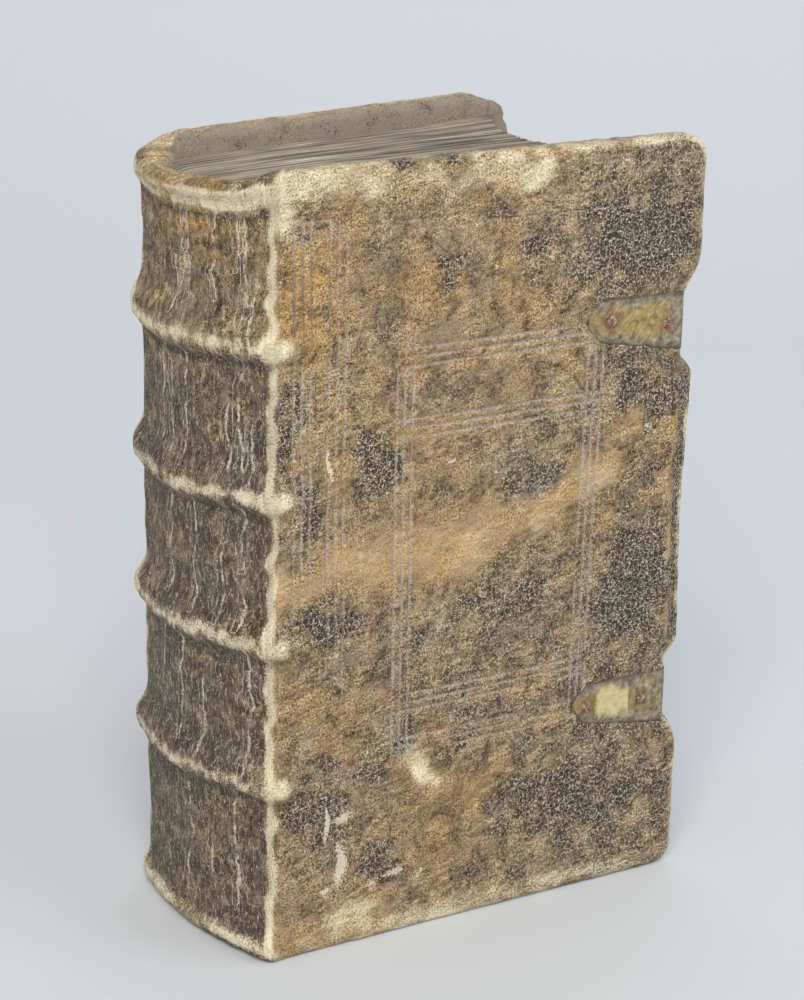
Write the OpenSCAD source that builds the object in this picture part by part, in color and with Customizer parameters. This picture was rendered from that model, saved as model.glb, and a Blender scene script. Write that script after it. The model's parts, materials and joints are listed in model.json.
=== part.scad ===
// Antique bible in a laced-on wooden board binding: leather over two boards, a rounded back with
// raised bands, and two brass catch plates at the fore-edge whose straps are lost.
// The book stands on its tail. The back points to -X, the front cover faces -Y, and +Z is up.

/* [Book] */
// Height of the covers, head to tail
cover_h = 190; // [180:1:205]
// Width of a cover, from its hinge line to the fore-edge
cover_w = 116; // [113:1:126]
// Thickness of the closed book over both covers at the hinge lines
spine_t = 57; // [52:0.5:64]
// Angle by which each cover gapes open from the closed position, in degrees
gape = 5.4; // [3:0.2:7]
// How far the rounded back stands out behind the hinge lines
spine_rise = 4.7; // [4:0.1:6]

/* [Boards] */
// Thickness of a wooden board
board_t = 5; // [4:0.2:6]
// Radius of a cover's corners at the fore-edge
corner_r = 6; // [4:0.5:9]
// Radius to which the cover's edges are rounded
edge_r = 2.2; // [1.6:0.1:2.6]
// Clear space between the hinge line and the pieces of a cover
joint_gap = 0.4; // [0.3:0.05:0.8]
// Width of the bevel cut on the front board between its catches
bevel_w = 5.6; // [4:0.2:7]
// Depth of that bevel at the fore-edge
bevel_d = 3.4; // [2:0.2:4]

/* [Leather] */
// Thickness of the leather
leather_t = 1.0; // [0.8:0.05:1.2]
// Width of the leather turned in over the inside of a board
turn_in_w = 16; // [12:1:20]

/* [Leaves] */
// How far the heads of the leaves lie below the top of the covers
head_square = 5.6; // [5:0.1:7]
// How far the tails of the leaves lie above the bottom of the covers
tail_square = 4.8; // [4.4:0.1:7]
// How far the corners of the leaves lie behind the fore-edge of the covers
fore_square = 10; // [8:0.5:13]
// Depth of the hollow in the fore-edge of the leaves
fore_hollow = 13; // [9:0.5:15]
// Clear space between the leaves and the inside of a cover
flank_gap = 0.3; // [0.2:0.05:0.5]
// Thickness of the paper pasted down inside each cover
pastedown_t = 0.4; // [0.2:0.05:0.6]

/* [Back] */
// Height of the lowest raised band above the tail
first_band_z = 45.6; // [40:0.2:48]
// How far the highest raised band lies below the head
last_band_drop = 39.1; // [36:0.1:42]
// Diameter of one of the twin cords under a raised band
cord_d = 2.4; // [2:0.1:2.8]
// Clear space between the twin cords
cord_gap = 0.2; // [0.1:0.05:0.4]
// Width over which a raised band slopes down to the back on each side
band_slope = 2.4; // [1.6:0.1:3]
// Thickness of the lining pasted on the back between the bands
lining_t = 0.4; // [0.3:0.05:0.6]
// How far the leather caps at head and tail stand proud of the back
cap_rise = 1.4; // [1:0.1:1.6]
// How far below the head and above the tail of the covers a leather cap begins on the back
cap_h = 8; // [7:0.5:9]
// How far the cap at the head has sunk below the top of the covers
head_cap_drop = 2.2; // [1.8:0.1:2.6]
// Paste line left between pieces that are glued together
paste_gap = 0.05; // [0.03:0.01:0.08]

/* [Lacing] */
// Distance from the hinge line to the middle of the peg that holds a band's slip
slip_l = 18; // [15:0.5:22]
// Width of a slip, which is the flattened end of a band
slip_w = 5.2; // [4.6:0.1:6]
// Thickness of a slip
slip_t = 2.0; // [1.6:0.1:2.4]
// Thickness to which the leather is pared over a slip next to the hinge
slip_skin = 0.2; // [0.15:0.05:0.4]
// Distance from the hinge line to the start of the leather's ridge over a slip
ridge_start = 2.6; // [2.4:0.1:4]
// Diameter of the wooden peg in the lacing hole
peg_d = 4.2; // [3.4:0.1:4.4]

/* [Catches] */
// Height of the upper catch plate's middle above the tail
upper_catch_z = 146; // [142:0.5:150]
// Height of the lower catch plate's middle above the tail
lower_catch_z = 48.5; // [45:0.5:54]
// Length of a catch plate on the face of the cover
plate_l = 28.8; // [26:0.2:31]
// Width of a catch plate at the fore-edge
plate_w = 14.6; // [12:0.2:16]
// Width of a catch plate behind its point
plate_neck_w = 10.4; // [9:0.2:12]
// Length of a catch plate's point
plate_tip_l = 4; // [3:0.5:5]
// Thickness of the brass plate
plate_t = 1.0; // [0.8:0.1:1.2]
// How deep the plate is let into the leather
plate_sink = 0.5; // [0.3:0.05:0.6]
// How far the plate is turned down over the edge of the board
plate_lip = 4; // [3:0.2:5]
// Height of the notch in the cover's edge at a catch
notch_h = 24; // [20:1:26]
// Depth of that notch
notch_d = 3.8; // [3:0.1:5]
// Distance from the plate's point to its inner rivet
inner_rivet = 6; // [5:0.2:8]
// Distance from the plate's point to its outer rivet
outer_rivet = 22.4; // [20:0.2:24]
// Diameter of a rivet's shank
rivet_d = 2.2; // [1.6:0.1:2.4]
// Diameter of a rivet's head
rivet_head_d = 3.8; // [3.2:0.1:4.4]
// Height of a rivet's domed head
rivet_head_h = 0.8; // [0.5:0.05:1]

/* [Tooling] */
// Width of a tooled line
line_w = 0.7; // [0.4:0.05:0.9]
// Depth of a tooled line
line_d = 0.3; // [0.2:0.05:0.4]
// Distance between the lines of a triple fillet
line_pitch = 2.1; // [1.6:0.1:2.4]
// Distance from the cover's edges to the outer tooled frame
frame_inset = 8; // [7:0.5:11]
// Distance from the hinge line to the outer tooled frame
frame_joint = 5.4; // [4.6:0.2:7]
// Distance from the hinge line to the second group of upright lines
second_group = 14; // [13:0.5:17]
// Distance from the hinge line to the tooled panel
panel_left = 32; // [28:0.5:36]
// Width of the tooled panel
panel_w = 55.5; // [50:0.5:58]
// Height of the tooled panel's foot above the tail
panel_foot = 47; // [42:0.5:52]
// Height of the tooled panel
panel_h = 100; // [92:1:104]
// Depth of the band of lines at the panel's head
panel_head_band = 17; // [14:0.5:20]
// Depth of the band of lines at the panel's foot
panel_foot_band = 11; // [9:0.5:14]

/* [Hidden] */
$fn = 180;
BAND_COUNT = 4;
LINES = [0, 1, 2];
SLOPE_STEPS = 6;
ARC_STEPS = 24;
CUT = 1;
FRONT = 0;
BACK = 1;
cover_t = board_t + 2 * leather_t;
back_r = (spine_t * spine_t / 4 + spine_rise * spine_rise) / (2 * spine_rise);
back_x = back_r - spine_rise;
back_angle = asin(spine_t / 2 / back_r);
leather_in_r = back_r - leather_t;
block_r = leather_in_r - lining_t - 2 * paste_gap;
cord_r = block_r + paste_gap + cord_d / 2;
cord_pitch = cord_d + cord_gap;
band_in_r = block_r + cord_d + 2 * paste_gap;
band_r = band_in_r + leather_t;
band_in_half = (cord_pitch + cord_d) / 2 + paste_gap;
band_half = band_in_half + leather_t / 2;
band_pitch = (cover_h - first_band_z - last_band_drop) / (BAND_COUNT - 1);
block_foot = tail_square;
block_head = cover_h - head_square;
head_band_r = (head_square - head_cap_drop - leather_t) / 2 - paste_gap;
tail_band_r = (tail_square - leather_t) / 2 - paste_gap;
cap_r = back_r + cap_rise;
flank = cover_t + flank_gap;
slip_rise = leather_t - slip_skin;
groove_floor = slip_skin + slip_t;
ridge_w = slip_w + 4 * leather_t;
ridge_r = (ridge_w * ridge_w / 4 + slip_rise * slip_rise) / (2 * slip_rise);
edge_at_catch = cover_w - notch_d;
plate_tip = edge_at_catch - plate_l;
upper_bevel_end = upper_catch_z - notch_h / 2 + leather_t;
lower_bevel_end = lower_catch_z + notch_h / 2 - leather_t;
fore_edge_x = (cover_w - edge_r) * cos(gape) + (cover_t - edge_r) * sin(gape) + edge_r;
origin_x = (back_x - band_r + fore_edge_x) / 2;

function band_z(i) = first_band_z + (i - 1) * band_pitch;

// Plan position of a point of the front cover, u along its width and d deep from its outer face
function in_plan(u, d) = [
  u * cos(gape) + d * sin(gape),
  -spine_t / 2 - u * sin(gape) + d * cos(gape)
];
function flipped(p) = [p[0], -p[1]];

// Arc points round a centre, in the plane of radius and height
function on_circle(r, angle) = r * [cos(angle), sin(angle)];
function arc(centre, r, from, to) =
  [for (i = [0:ARC_STEPS]) centre + on_circle(r, from + (to - from) * i / ARC_STEPS)];

// Angle at which a straight line from a point leaves a circle, both seen from the circle's centre
function tangent_angle(r, p) = atan2(p[1], p[0]) + acos(r / norm(p));

// Slope of the leather from one radius to another, as half a cosine wave over the slope's width
function slope(from_r, to_r, z) = [
  for (i = [0:SLOPE_STEPS])
    [from_r + (to_r - from_r) * (1 - cos(180 * i / SLOPE_STEPS)) / 2, z + band_slope * i / SLOPE_STEPS]
];

// Outer and inner outline of the leather over one raised band, from its foot to its head
function band_outside(z) = concat(
  slope(back_r, band_r, z - band_half - band_slope),
  slope(band_r, back_r, z + band_half)
);
function band_inside(z) = [
  [leather_in_r, z - band_in_half],
  [band_in_r, z - band_in_half],
  [band_in_r, z + band_in_half],
  [leather_in_r, z + band_in_half]
];

// Places the book so that the middle of its footprint is at the origin
module book() {
  translate([-origin_x, 0, 0]) children();
}

// Places a piece of a cover: X along the width from the hinge line, Y into the book, Z up
module cover(side) {
  book() mirror([0, side, 0]) translate([0, -spine_t / 2, 0]) rotate([0, 0, -gape]) children();
}

// Turns an outline of radius and height round the middle of the rounded back, short of the hinge plane
module round_back(clear) {
  book() intersection() {
    translate([back_x, 0, 0])
      rotate([0, 0, 180 - back_angle]) rotate_extrude(angle = 2 * back_angle) children();
    translate([-clear - 2 * spine_t, -spine_t, -CUT]) cube([2 * spine_t, 2 * spine_t, cover_h + 2 * CUT]);
  }
}

// Extrudes an outline of width and height through a cover, between two depths
module through_depth(from, to) {
  translate([0, to, 0]) rotate([90, 0, 0]) linear_extrude(to - from) children();
}

// Outline of a cover in width and height, drawn in from its edges, with notches at the catches
module cover_outline(inset, side) {
  r = corner_r - inset;
  difference() {
    union() {
      translate([joint_gap, inset]) square([cover_w - inset - r - joint_gap, cover_h - 2 * inset]);
      translate([joint_gap, inset + r]) square([cover_w - inset - joint_gap, cover_h - 2 * (inset + r)]);
      for (z = [inset + r, cover_h - inset - r]) translate([cover_w - inset - r, z]) circle(r);
    }
    if (side == FRONT)
      for (z = [upper_catch_z, lower_catch_z])
        translate([edge_at_catch - inset, z - notch_h / 2 - inset])
          square([notch_d + inset + CUT, notch_h + 2 * inset]);
  }
}

// Wedge that cuts the bevel from one catch's notch into the other's, moved in from the leather's face
module bevel_wedge(inset) {
  slope_l = sqrt(bevel_w * bevel_w + bevel_d * bevel_d);
  past = 2 * bevel_w;
  translate([-inset * bevel_d / slope_l, inset * bevel_w / slope_l, lower_bevel_end])
    linear_extrude(upper_bevel_end - lower_bevel_end)
      polygon([
        [cover_w - 2 * bevel_w, -bevel_d],
        [cover_w + past, bevel_d + past * bevel_d / bevel_w],
        [cover_w + past, -2 * bevel_d],
        [cover_w - 2 * bevel_w, -2 * bevel_d]
      ]);
}

// A whole cover of leather with its edges rounded and nothing cut out of it
module cover_blank(side) {
  difference() {
    intersection() {
      through_depth(0, cover_t) cover_outline(0, side);
      rotate([90, 0, 90]) linear_extrude(cover_w) edge_section(cover_t, cover_h);
      translate([cover_w, 0, 0]) rotate([0, 0, 90])
        linear_extrude(cover_h) edge_section(cover_t, 2 * cover_w);
    }
    if (side == FRONT) bevel_wedge(0);
  }
}

// Section of a cover with its four edges rounded
module edge_section(t, l) {
  translate([edge_r, 0]) square([t - 2 * edge_r, l]);
  translate([0, edge_r]) square([t, l - 2 * edge_r]);
  for (x = [edge_r, t - edge_r], y = [edge_r, l - edge_r]) translate([x, y]) circle(edge_r);
}

// A board before it is grooved and drilled
module board_blank(side) {
  difference() {
    through_depth(leather_t, leather_t + board_t) cover_outline(leather_t, side);
    if (side == FRONT) bevel_wedge(leather_t);
  }
}

// Outline of a slip in width and height, which ends round the peg
module slip_outline(z, clear) {
  w = slip_w + 2 * clear;
  translate([joint_gap - clear, z - w / 2]) square([slip_l - joint_gap + clear, w]);
  translate([slip_l, z]) circle(d = w);
}

module slip_space(clear) {
  for (i = [1:BAND_COUNT])
    through_depth(slip_skin - clear, groove_floor) slip_outline(band_z(i), clear);
}

module peg_holes(clear) {
  for (i = [1:BAND_COUNT])
    translate([slip_l, groove_floor, band_z(i)]) rotate([-90, 0, 0])
      cylinder(d = peg_d + 2 * clear, h = leather_t + board_t - groove_floor);
}

// Ridges that the slips raise in the leather near the hinge
module slip_ridges() {
  for (i = [1:BAND_COUNT])
    intersection() {
      translate([ridge_start, -slip_rise - CUT, band_z(i) - ridge_w])
        cube([cover_w, slip_rise + CUT + leather_t / 2, 2 * ridge_w]);
      translate([0, ridge_r - slip_rise, band_z(i)]) union() {
        rotate([0, 90, 0]) cylinder(r = ridge_r, h = slip_l);
        translate([slip_l, 0, 0]) sphere(ridge_r);
      }
    }
}

// Outline of a catch plate in width and height, which runs on past the edge of the cover
module plate_outline(z, clear, past) {
  polygon([
    [plate_tip - clear, z],
    [plate_tip + plate_tip_l, z - plate_neck_w / 2 - clear],
    [edge_at_catch, z - plate_w / 2 - clear],
    [edge_at_catch + past, z - plate_w / 2 - clear],
    [edge_at_catch + past, z + plate_w / 2 + clear],
    [edge_at_catch, z + plate_w / 2 + clear],
    [plate_tip + plate_tip_l, z + plate_neck_w / 2 + clear]
  ]);
}

module rivet_holes(from, to, clear) {
  for (z = [upper_catch_z, lower_catch_z], u = [inner_rivet, outer_rivet])
    translate([plate_tip + u, from, z]) rotate([-90, 0, 0]) cylinder(d = rivet_d + 2 * clear, h = to - from);
}

// One upright or level tooled line
module upright_line(u, from, to) {
  translate([u - line_w / 2, -CUT, from]) cube([line_w, CUT + line_d, to - from]);
}
module level_line(z, from, to) {
  translate([from, -CUT, z - line_w / 2]) cube([to - from, CUT + line_d, line_w]);
}

// A rectangle of triple lines
module triple_frame(left, right, foot, head) {
  for (i = LINES) {
    upright_line(left + i * line_pitch, foot, head);
    upright_line(right - i * line_pitch, foot, head);
    level_line(foot + i * line_pitch, left, right);
    level_line(head - i * line_pitch, left, right);
  }
}

// The tooled lines of a cover: an outer frame and a panel, with bands of lines across the front panel
module tooling(side) {
  panel_right = panel_left + panel_w;
  panel_top = panel_foot + panel_h;
  frame_foot = frame_inset + line_pitch;
  frame_head = cover_h - frame_foot;
  triple_frame(frame_joint, cover_w - frame_inset, frame_foot, frame_head);
  triple_frame(panel_left, panel_right, panel_foot, panel_top);
  for (i = LINES) upright_line(second_group + i * line_pitch, frame_foot, frame_head);
  if (side == FRONT)
    for (i = LINES) {
      level_line(panel_top - panel_head_band - i * line_pitch, panel_left, panel_right);
      level_line(panel_foot + panel_foot_band + i * line_pitch, panel_left, panel_right);
    }
}

// Leather drawn over the outside and edges of a board and turned in on the inside
module cover_leather(side) {
  color("peru") cover(side) difference() {
    union() {
      difference() {
        cover_blank(side);
        tooling(side);
      }
      slip_ridges();
    }
    board_blank(side);
    slip_space(paste_gap);
    translate([-CUT, leather_t + board_t, turn_in_w])
      cube([cover_w - turn_in_w + CUT, leather_t + CUT, cover_h - 2 * turn_in_w]);
    if (side == FRONT) {
      for (z = [upper_catch_z, lower_catch_z])
        through_depth(-CUT, plate_sink + paste_gap) plate_outline(z, paste_gap, CUT);
      rivet_holes(0, leather_t + CUT / 2, paste_gap);
    }
  }
}

module board(side) {
  color("saddlebrown") cover(side) difference() {
    board_blank(side);
    slip_space(paste_gap);
    peg_holes(paste_gap);
    if (side == FRONT) rivet_holes(0, cover_t, paste_gap);
  }
}

module pastedown(side) {
  color("antiquewhite") cover(side)
    translate([joint_gap, leather_t + board_t, turn_in_w + paste_gap])
      cube([cover_w - turn_in_w - joint_gap - paste_gap, pastedown_t, cover_h - 2 * (turn_in_w + paste_gap)]);
}

module slip(side, i) {
  color("tan") cover(side) through_depth(slip_skin, groove_floor) slip_outline(band_z(i), 0);
}

module lacing_pegs(side) {
  color("burlywood") cover(side) peg_holes(0);
}

// Brass plate let into the leather and turned down over the edge of the board
module catch_plate(z) {
  lip_u = edge_at_catch + paste_gap;
  color("darkkhaki") cover(FRONT) difference() {
    union() {
      through_depth(plate_sink - plate_t, plate_sink) plate_outline(z, 0, paste_gap + plate_t);
      translate([lip_u, plate_sink - plate_t, z - plate_w / 2]) cube([plate_t, plate_lip, plate_w]);
    }
    rivet_holes(-cover_t, cover_t, paste_gap);
  }
}

// Iron rivets through plate, leather and board, with low domed heads
module catch_rivets() {
  dome_r = (rivet_head_d * rivet_head_d / 4 + rivet_head_h * rivet_head_h) / (2 * rivet_head_h);
  seat = plate_sink - plate_t;
  color("dimgray") cover(FRONT) {
    rivet_holes(seat, leather_t + board_t, 0);
    for (z = [upper_catch_z, lower_catch_z], u = [inner_rivet, outer_rivet])
      translate([plate_tip + u, seat, z]) intersection() {
        translate([0, dome_r - rivet_head_h, 0]) sphere(dome_r);
        translate([-dome_r, -rivet_head_h, -dome_r]) cube([2 * dome_r, rivet_head_h, 2 * dome_r]);
      }
  }
}

// The sewn leaves as one block, with shoulders, a rounded back and a hollow fore-edge
module text_block() {
  hinge_u = -(joint_gap + flank * sin(gape)) / cos(gape);
  hinge_end = in_plan(hinge_u, flank);
  fore_end = in_plan(cover_w - fore_square, flank);
  hollow_r = (fore_end[1] * fore_end[1] + fore_hollow * fore_hollow) / (2 * fore_hollow);
  color("wheat") book() translate([0, 0, block_foot]) linear_extrude(block_head - block_foot) difference() {
    intersection() {
      union() {
        polygon([hinge_end, fore_end, flipped(fore_end), flipped(hinge_end)]);
        translate([-2 * spine_rise, -spine_t / 2]) square([2 * spine_rise - joint_gap, spine_t]);
      }
      translate([back_x, 0]) circle(block_r);
    }
    translate([fore_end[0] - fore_hollow + hollow_r, 0]) circle(hollow_r);
  }
}

// Leather over the rounded back: caps over the endbands at head and tail, and raised bands between
module spine_leather() {
  head_in_r = head_band_r + paste_gap;
  tail_in_r = tail_band_r + paste_gap;
  head_r = head_in_r + leather_t;
  tail_r = tail_in_r + leather_t;
  head_centre = [cap_r - head_r, cover_h - head_cap_drop - head_r];
  tail_centre = [cap_r - tail_r, tail_r];
  under_head = [leather_in_r, block_head - head_band_r];
  over_tail = [leather_in_r, block_foot + tail_band_r];
  head_wrap = tangent_angle(head_in_r, under_head - head_centre);
  tail_wrap = -tangent_angle(tail_in_r, flipped(over_tail - tail_centre));
  outside = concat(
    arc(tail_centre, tail_r, 180, 360),
    slope(cap_r, back_r, cap_h),
    [for (i = [1:BAND_COUNT]) each band_outside(band_z(i))],
    slope(back_r, cap_r, cover_h - cap_h - band_slope),
    arc(head_centre, head_r, 0, 180)
  );
  inside = concat(
    arc(head_centre, head_in_r, 180, head_wrap),
    [under_head],
    [for (i = [BAND_COUNT:-1:1]) each [for (k = [3:-1:0]) band_inside(band_z(i))[k]]],
    [over_tail],
    arc(tail_centre, tail_in_r, 360 + tail_wrap, 180)
  );
  color("sienna") round_back(0) polygon(concat(outside, inside));
}

// Cord core of an endband, which sits on the leaves under the leather cap
module endband(r, z) {
  color("khaki") round_back(joint_gap) translate([cap_r - leather_t - paste_gap - r, z]) circle(r);
}

// Twin cords across the back, to which the leaves are sewn
module sewing_band(i) {
  color("tan") round_back(joint_gap)
    for (side = [-1, 1]) translate([cord_r, band_z(i) + side * cord_pitch / 2]) circle(d = cord_d);
}

// Lining pasted on the back between two bands
module spine_lining(i) {
  foot = i == 1 ? block_foot : band_z(i - 1) + band_in_half;
  head = i == BAND_COUNT + 1 ? block_head : band_z(i) - band_in_half;
  color("linen") round_back(joint_gap) translate([block_r + paste_gap, foot]) square([lining_t, head - foot]);
}

text_block();
spine_leather();
endband(head_band_r, block_head + paste_gap + head_band_r);  // head_endband
endband(tail_band_r, block_foot - paste_gap - tail_band_r);  // tail_endband
for (i = [1:BAND_COUNT]) {
  sewing_band(i);
  slip(FRONT, i);
  slip(BACK, i);
}
for (i = [1:BAND_COUNT + 1])
  spine_lining(i);
board(FRONT);  // front_board
cover_leather(FRONT);  // front_cover_leather
pastedown(FRONT);  // front_pastedown
lacing_pegs(FRONT);  // front_lacing_pegs
catch_plate(upper_catch_z);  // upper_catch_plate
catch_plate(lower_catch_z);  // lower_catch_plate
catch_rivets();
board(BACK);  // back_board
cover_leather(BACK);  // back_cover_leather
pastedown(BACK);  // back_pastedown
lacing_pegs(BACK);  // back_lacing_pegs
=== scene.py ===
import json
import math

import bpy
import numpy as np
from mathutils import Matrix, Vector


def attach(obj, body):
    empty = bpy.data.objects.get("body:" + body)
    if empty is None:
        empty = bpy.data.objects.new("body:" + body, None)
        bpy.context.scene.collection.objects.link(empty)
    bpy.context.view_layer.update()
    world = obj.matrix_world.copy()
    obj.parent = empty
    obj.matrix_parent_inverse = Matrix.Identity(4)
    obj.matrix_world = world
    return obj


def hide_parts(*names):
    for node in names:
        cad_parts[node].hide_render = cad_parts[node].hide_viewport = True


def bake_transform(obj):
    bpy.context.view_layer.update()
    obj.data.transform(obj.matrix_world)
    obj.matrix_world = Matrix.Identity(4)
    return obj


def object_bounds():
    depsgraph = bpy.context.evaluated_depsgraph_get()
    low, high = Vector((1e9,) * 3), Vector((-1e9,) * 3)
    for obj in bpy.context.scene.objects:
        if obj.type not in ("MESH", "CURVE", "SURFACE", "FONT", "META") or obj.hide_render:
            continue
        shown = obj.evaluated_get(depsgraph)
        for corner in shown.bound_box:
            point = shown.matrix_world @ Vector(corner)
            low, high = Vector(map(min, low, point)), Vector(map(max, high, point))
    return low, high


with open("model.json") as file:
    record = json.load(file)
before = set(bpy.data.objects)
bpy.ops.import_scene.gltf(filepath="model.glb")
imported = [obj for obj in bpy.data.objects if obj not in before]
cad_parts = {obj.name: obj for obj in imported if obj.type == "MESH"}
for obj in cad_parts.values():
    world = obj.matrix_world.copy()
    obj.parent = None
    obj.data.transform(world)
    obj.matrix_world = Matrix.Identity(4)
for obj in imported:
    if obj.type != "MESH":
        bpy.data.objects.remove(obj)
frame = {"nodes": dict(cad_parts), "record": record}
cad_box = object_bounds()


# The leaves. Rag paper folded into gatherings and sewn through the folds; the sewn block was rounded
# at the back, which hollows the fore-edge. They fan out between the gaping covers.
MM = 0.001
hinges = {joint["name"]: joint["pos_m"] for joint in frame["record"]["behaviour"]["joints"]}
hinge_x = hinges["front_cover_hinge"][0] / MM
half_back = -hinges["front_cover_hinge"][1] / MM
cover_h = cad_box[1][2] / MM
cover_w = 116
cover_t = 7
gape = math.radians(5.4)
spine_rise = 4.7
back_r = (half_back**2 + spine_rise**2) / (2 * spine_rise)
back_x = back_r - spine_rise
block_r = back_r - 1.5
leaf_head = 184.4
leaf_foot = 4.8
leaf_u = 106
fore_hollow = 13
flank = cover_t + 0.35
leaf_soft = 0.3
block_t = 58
sway_t = 60
gathering_count = 64
leaf_stations = 17
leaf_corners = 8


def on_cover(u, depth):
    """Plan point of the front cover in mm: u along its width, depth in from its outer face."""
    x = u * math.cos(gape) + depth * math.sin(gape)
    y = -half_back - u * math.sin(gape) + depth * math.cos(gape)
    return x, y


def lumps(x, y, size, seed):
    """Smooth noise from -1 to 1 over a flat place given in mm, with lumps of about that size."""
    cells, shift = 97, 400
    grid = np.random.default_rng(seed).uniform(-1, 1, (cells, cells))
    x = np.asarray(x, float) / size + shift
    y = np.asarray(y, float) / size + shift
    i = np.floor(x).astype(int)
    j = np.floor(y).astype(int)
    a = x - i
    b = y - j
    a = a * a * (3 - 2 * a)
    b = b * b * (3 - 2 * b)
    low = grid[i % cells, j % cells] * (1 - a) + grid[(i + 1) % cells, j % cells] * a
    j = j + 1
    high = grid[i % cells, j % cells] * (1 - a) + grid[(i + 1) % cells, j % cells] * a
    return low * (1 - b) + high * b


def make_piece(name, points, faces, **fields):
    """A smooth mesh from points in mm, x from the hinge line, with its fields kept as attributes."""
    mesh = bpy.data.meshes.new(name)
    placed = (np.asarray(points, float) + [hinge_x, 0, 0]) * MM
    mesh.from_pydata(placed.tolist(), [], faces)
    mesh.validate()
    mesh.shade_smooth()
    for field, values in fields.items():
        values = np.asarray(values, np.float32)
        if values.ndim == 2:
            mesh.attributes.new(field, "FLOAT_VECTOR", "POINT").data.foreach_set("vector", values.ravel())
        else:
            mesh.attributes.new(field, "FLOAT", "POINT").data.foreach_set("value", values)
    piece = bpy.data.objects.new(name, mesh)
    bpy.context.scene.collection.objects.link(piece)
    return piece


def leaf_line(f, along):
    """Plan point of a leaf: f from the front flank (0) to the back one (1), along from back to fore-edge."""
    back_y = on_cover(0, flank)[1] * (1 - 2 * f)
    back_at = back_x - math.sqrt(block_r**2 - back_y**2)
    end_x, end_y = on_cover(leaf_u, flank)
    hollow_r = (end_y**2 + fore_hollow**2) / (2 * fore_hollow)
    fore_y = end_y * (1 - 2 * f)
    fore_at = end_x - fore_hollow + hollow_r - math.sqrt(hollow_r**2 - fore_y**2)
    x = back_at + (fore_at - back_at) * along
    y = back_y + (fore_y - back_y) * along
    room = 4 * f * (1 - f)
    sway = 0.7 * room * np.sin(2.6 * along + 1.0) * along + 0.25 * room * lumps(x, f * sway_t, 22, 3)
    return x, y + sway


def sewn_leaves():
    """All gatherings in one mesh, each a soft-edged strip that fans out towards the fore-edge."""
    rng = np.random.default_rng(11)
    share = np.cumsum(np.concatenate([[0], rng.uniform(0.5, 1.5, gathering_count)]))
    share = share / share[-1]
    along = np.linspace(0, 1, leaf_stations)
    points, faces, places, painted_gap_shade_sides, outer = [], [], [], [], []
    for k in range(gathering_count):
        width = share[k + 1] - share[k]
        splay = rng.choice([0.05, 0.1, 0.34], p=[0.5, 0.38, 0.12])
        head = leaf_head - abs(rng.normal(0, 0.3))
        foot = leaf_foot + abs(rng.normal(0, 0.2))
        ring = [
            (0, foot + leaf_soft), (0.2, foot), (0.8, foot), (1, foot + leaf_soft),
            (1, head - leaf_soft), (0.8, head), (0.2, head), (0, head - leaf_soft),
        ]
        base = len(points)
        for a in along:
            gap = width * (0.04 + splay * a * a)
            for across, z in ring:
                f = share[k] + gap / 2 + (width - gap) * across
                x, y = leaf_line(f, a)
                rise = 0.0
                if z > leaf_head / 2:
                    sunk = max(0.0, (f - 0.6) / 0.4) * max(0.0, 1 - a / 0.07)
                    rise = 0.25 * float(lumps(x, f * sway_t, 16, 5)) - 2.2 * sunk
                points.append((x, y, z + rise))
                places.append((f * block_t, x, z))
                # The sides of each gathering carry painted shade for the gap beside it
                painted_gap_shade_sides.append(1.0 if across in (0, 1) else 0.0)
                outer.append(1.0 if (k, across) in ((0, 0), (gathering_count - 1, 1)) else 0.0)
        for a in range(leaf_stations - 1):
            for c in range(leaf_corners):
                p = base + a * leaf_corners + c
                q = base + a * leaf_corners + (c + 1) % leaf_corners
                faces.append((p, p + leaf_corners, q + leaf_corners, q))
        fore = base + (leaf_stations - 1) * leaf_corners
        faces.append(tuple(range(base, base + leaf_corners)))
        faces.append(tuple(reversed(range(fore, fore + leaf_corners))))
    return make_piece("leaves", points, faces, leaf_mm=places, between=painted_gap_shade_sides, outer=outer)


def linear(hex_colour):
    """An sRGB hex colour as linear RGBA."""
    channels = [int(hex_colour[i:i + 2], 16) / 255 for i in (1, 3, 5)]
    bent = [c / 12.92 if c <= 0.04045 else ((c + 0.055) / 1.055) ** 2.4 for c in channels]
    return (*bent, 1.0)


def add(tree, kind, inputs, out=0, stops=None, **settings):
    """Adds a node with its settings, values, links and any colour stops, and returns an output."""
    made = tree.nodes.new("ShaderNode" + kind)
    for name, value in settings.items():
        setattr(made, name, value)
    for key, value in inputs.items():
        if isinstance(value, bpy.types.NodeSocket):
            tree.links.new(value, made.inputs[key])
        else:
            made.inputs[key].default_value = value
    if stops:
        ramp = made.color_ramp.elements
        while len(ramp) < len(stops):
            ramp.new(0.5)
        for element, (place, colour) in zip(ramp, stops):
            element.position = place
            element.color = linear(colour)
    return made.outputs[out] if made.outputs else None


def new_material(name):
    """An empty material and its node tree."""
    material = bpy.data.materials.new(name)
    material.use_nodes = True
    material.node_tree.nodes.clear()
    return material, material.node_tree


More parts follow.
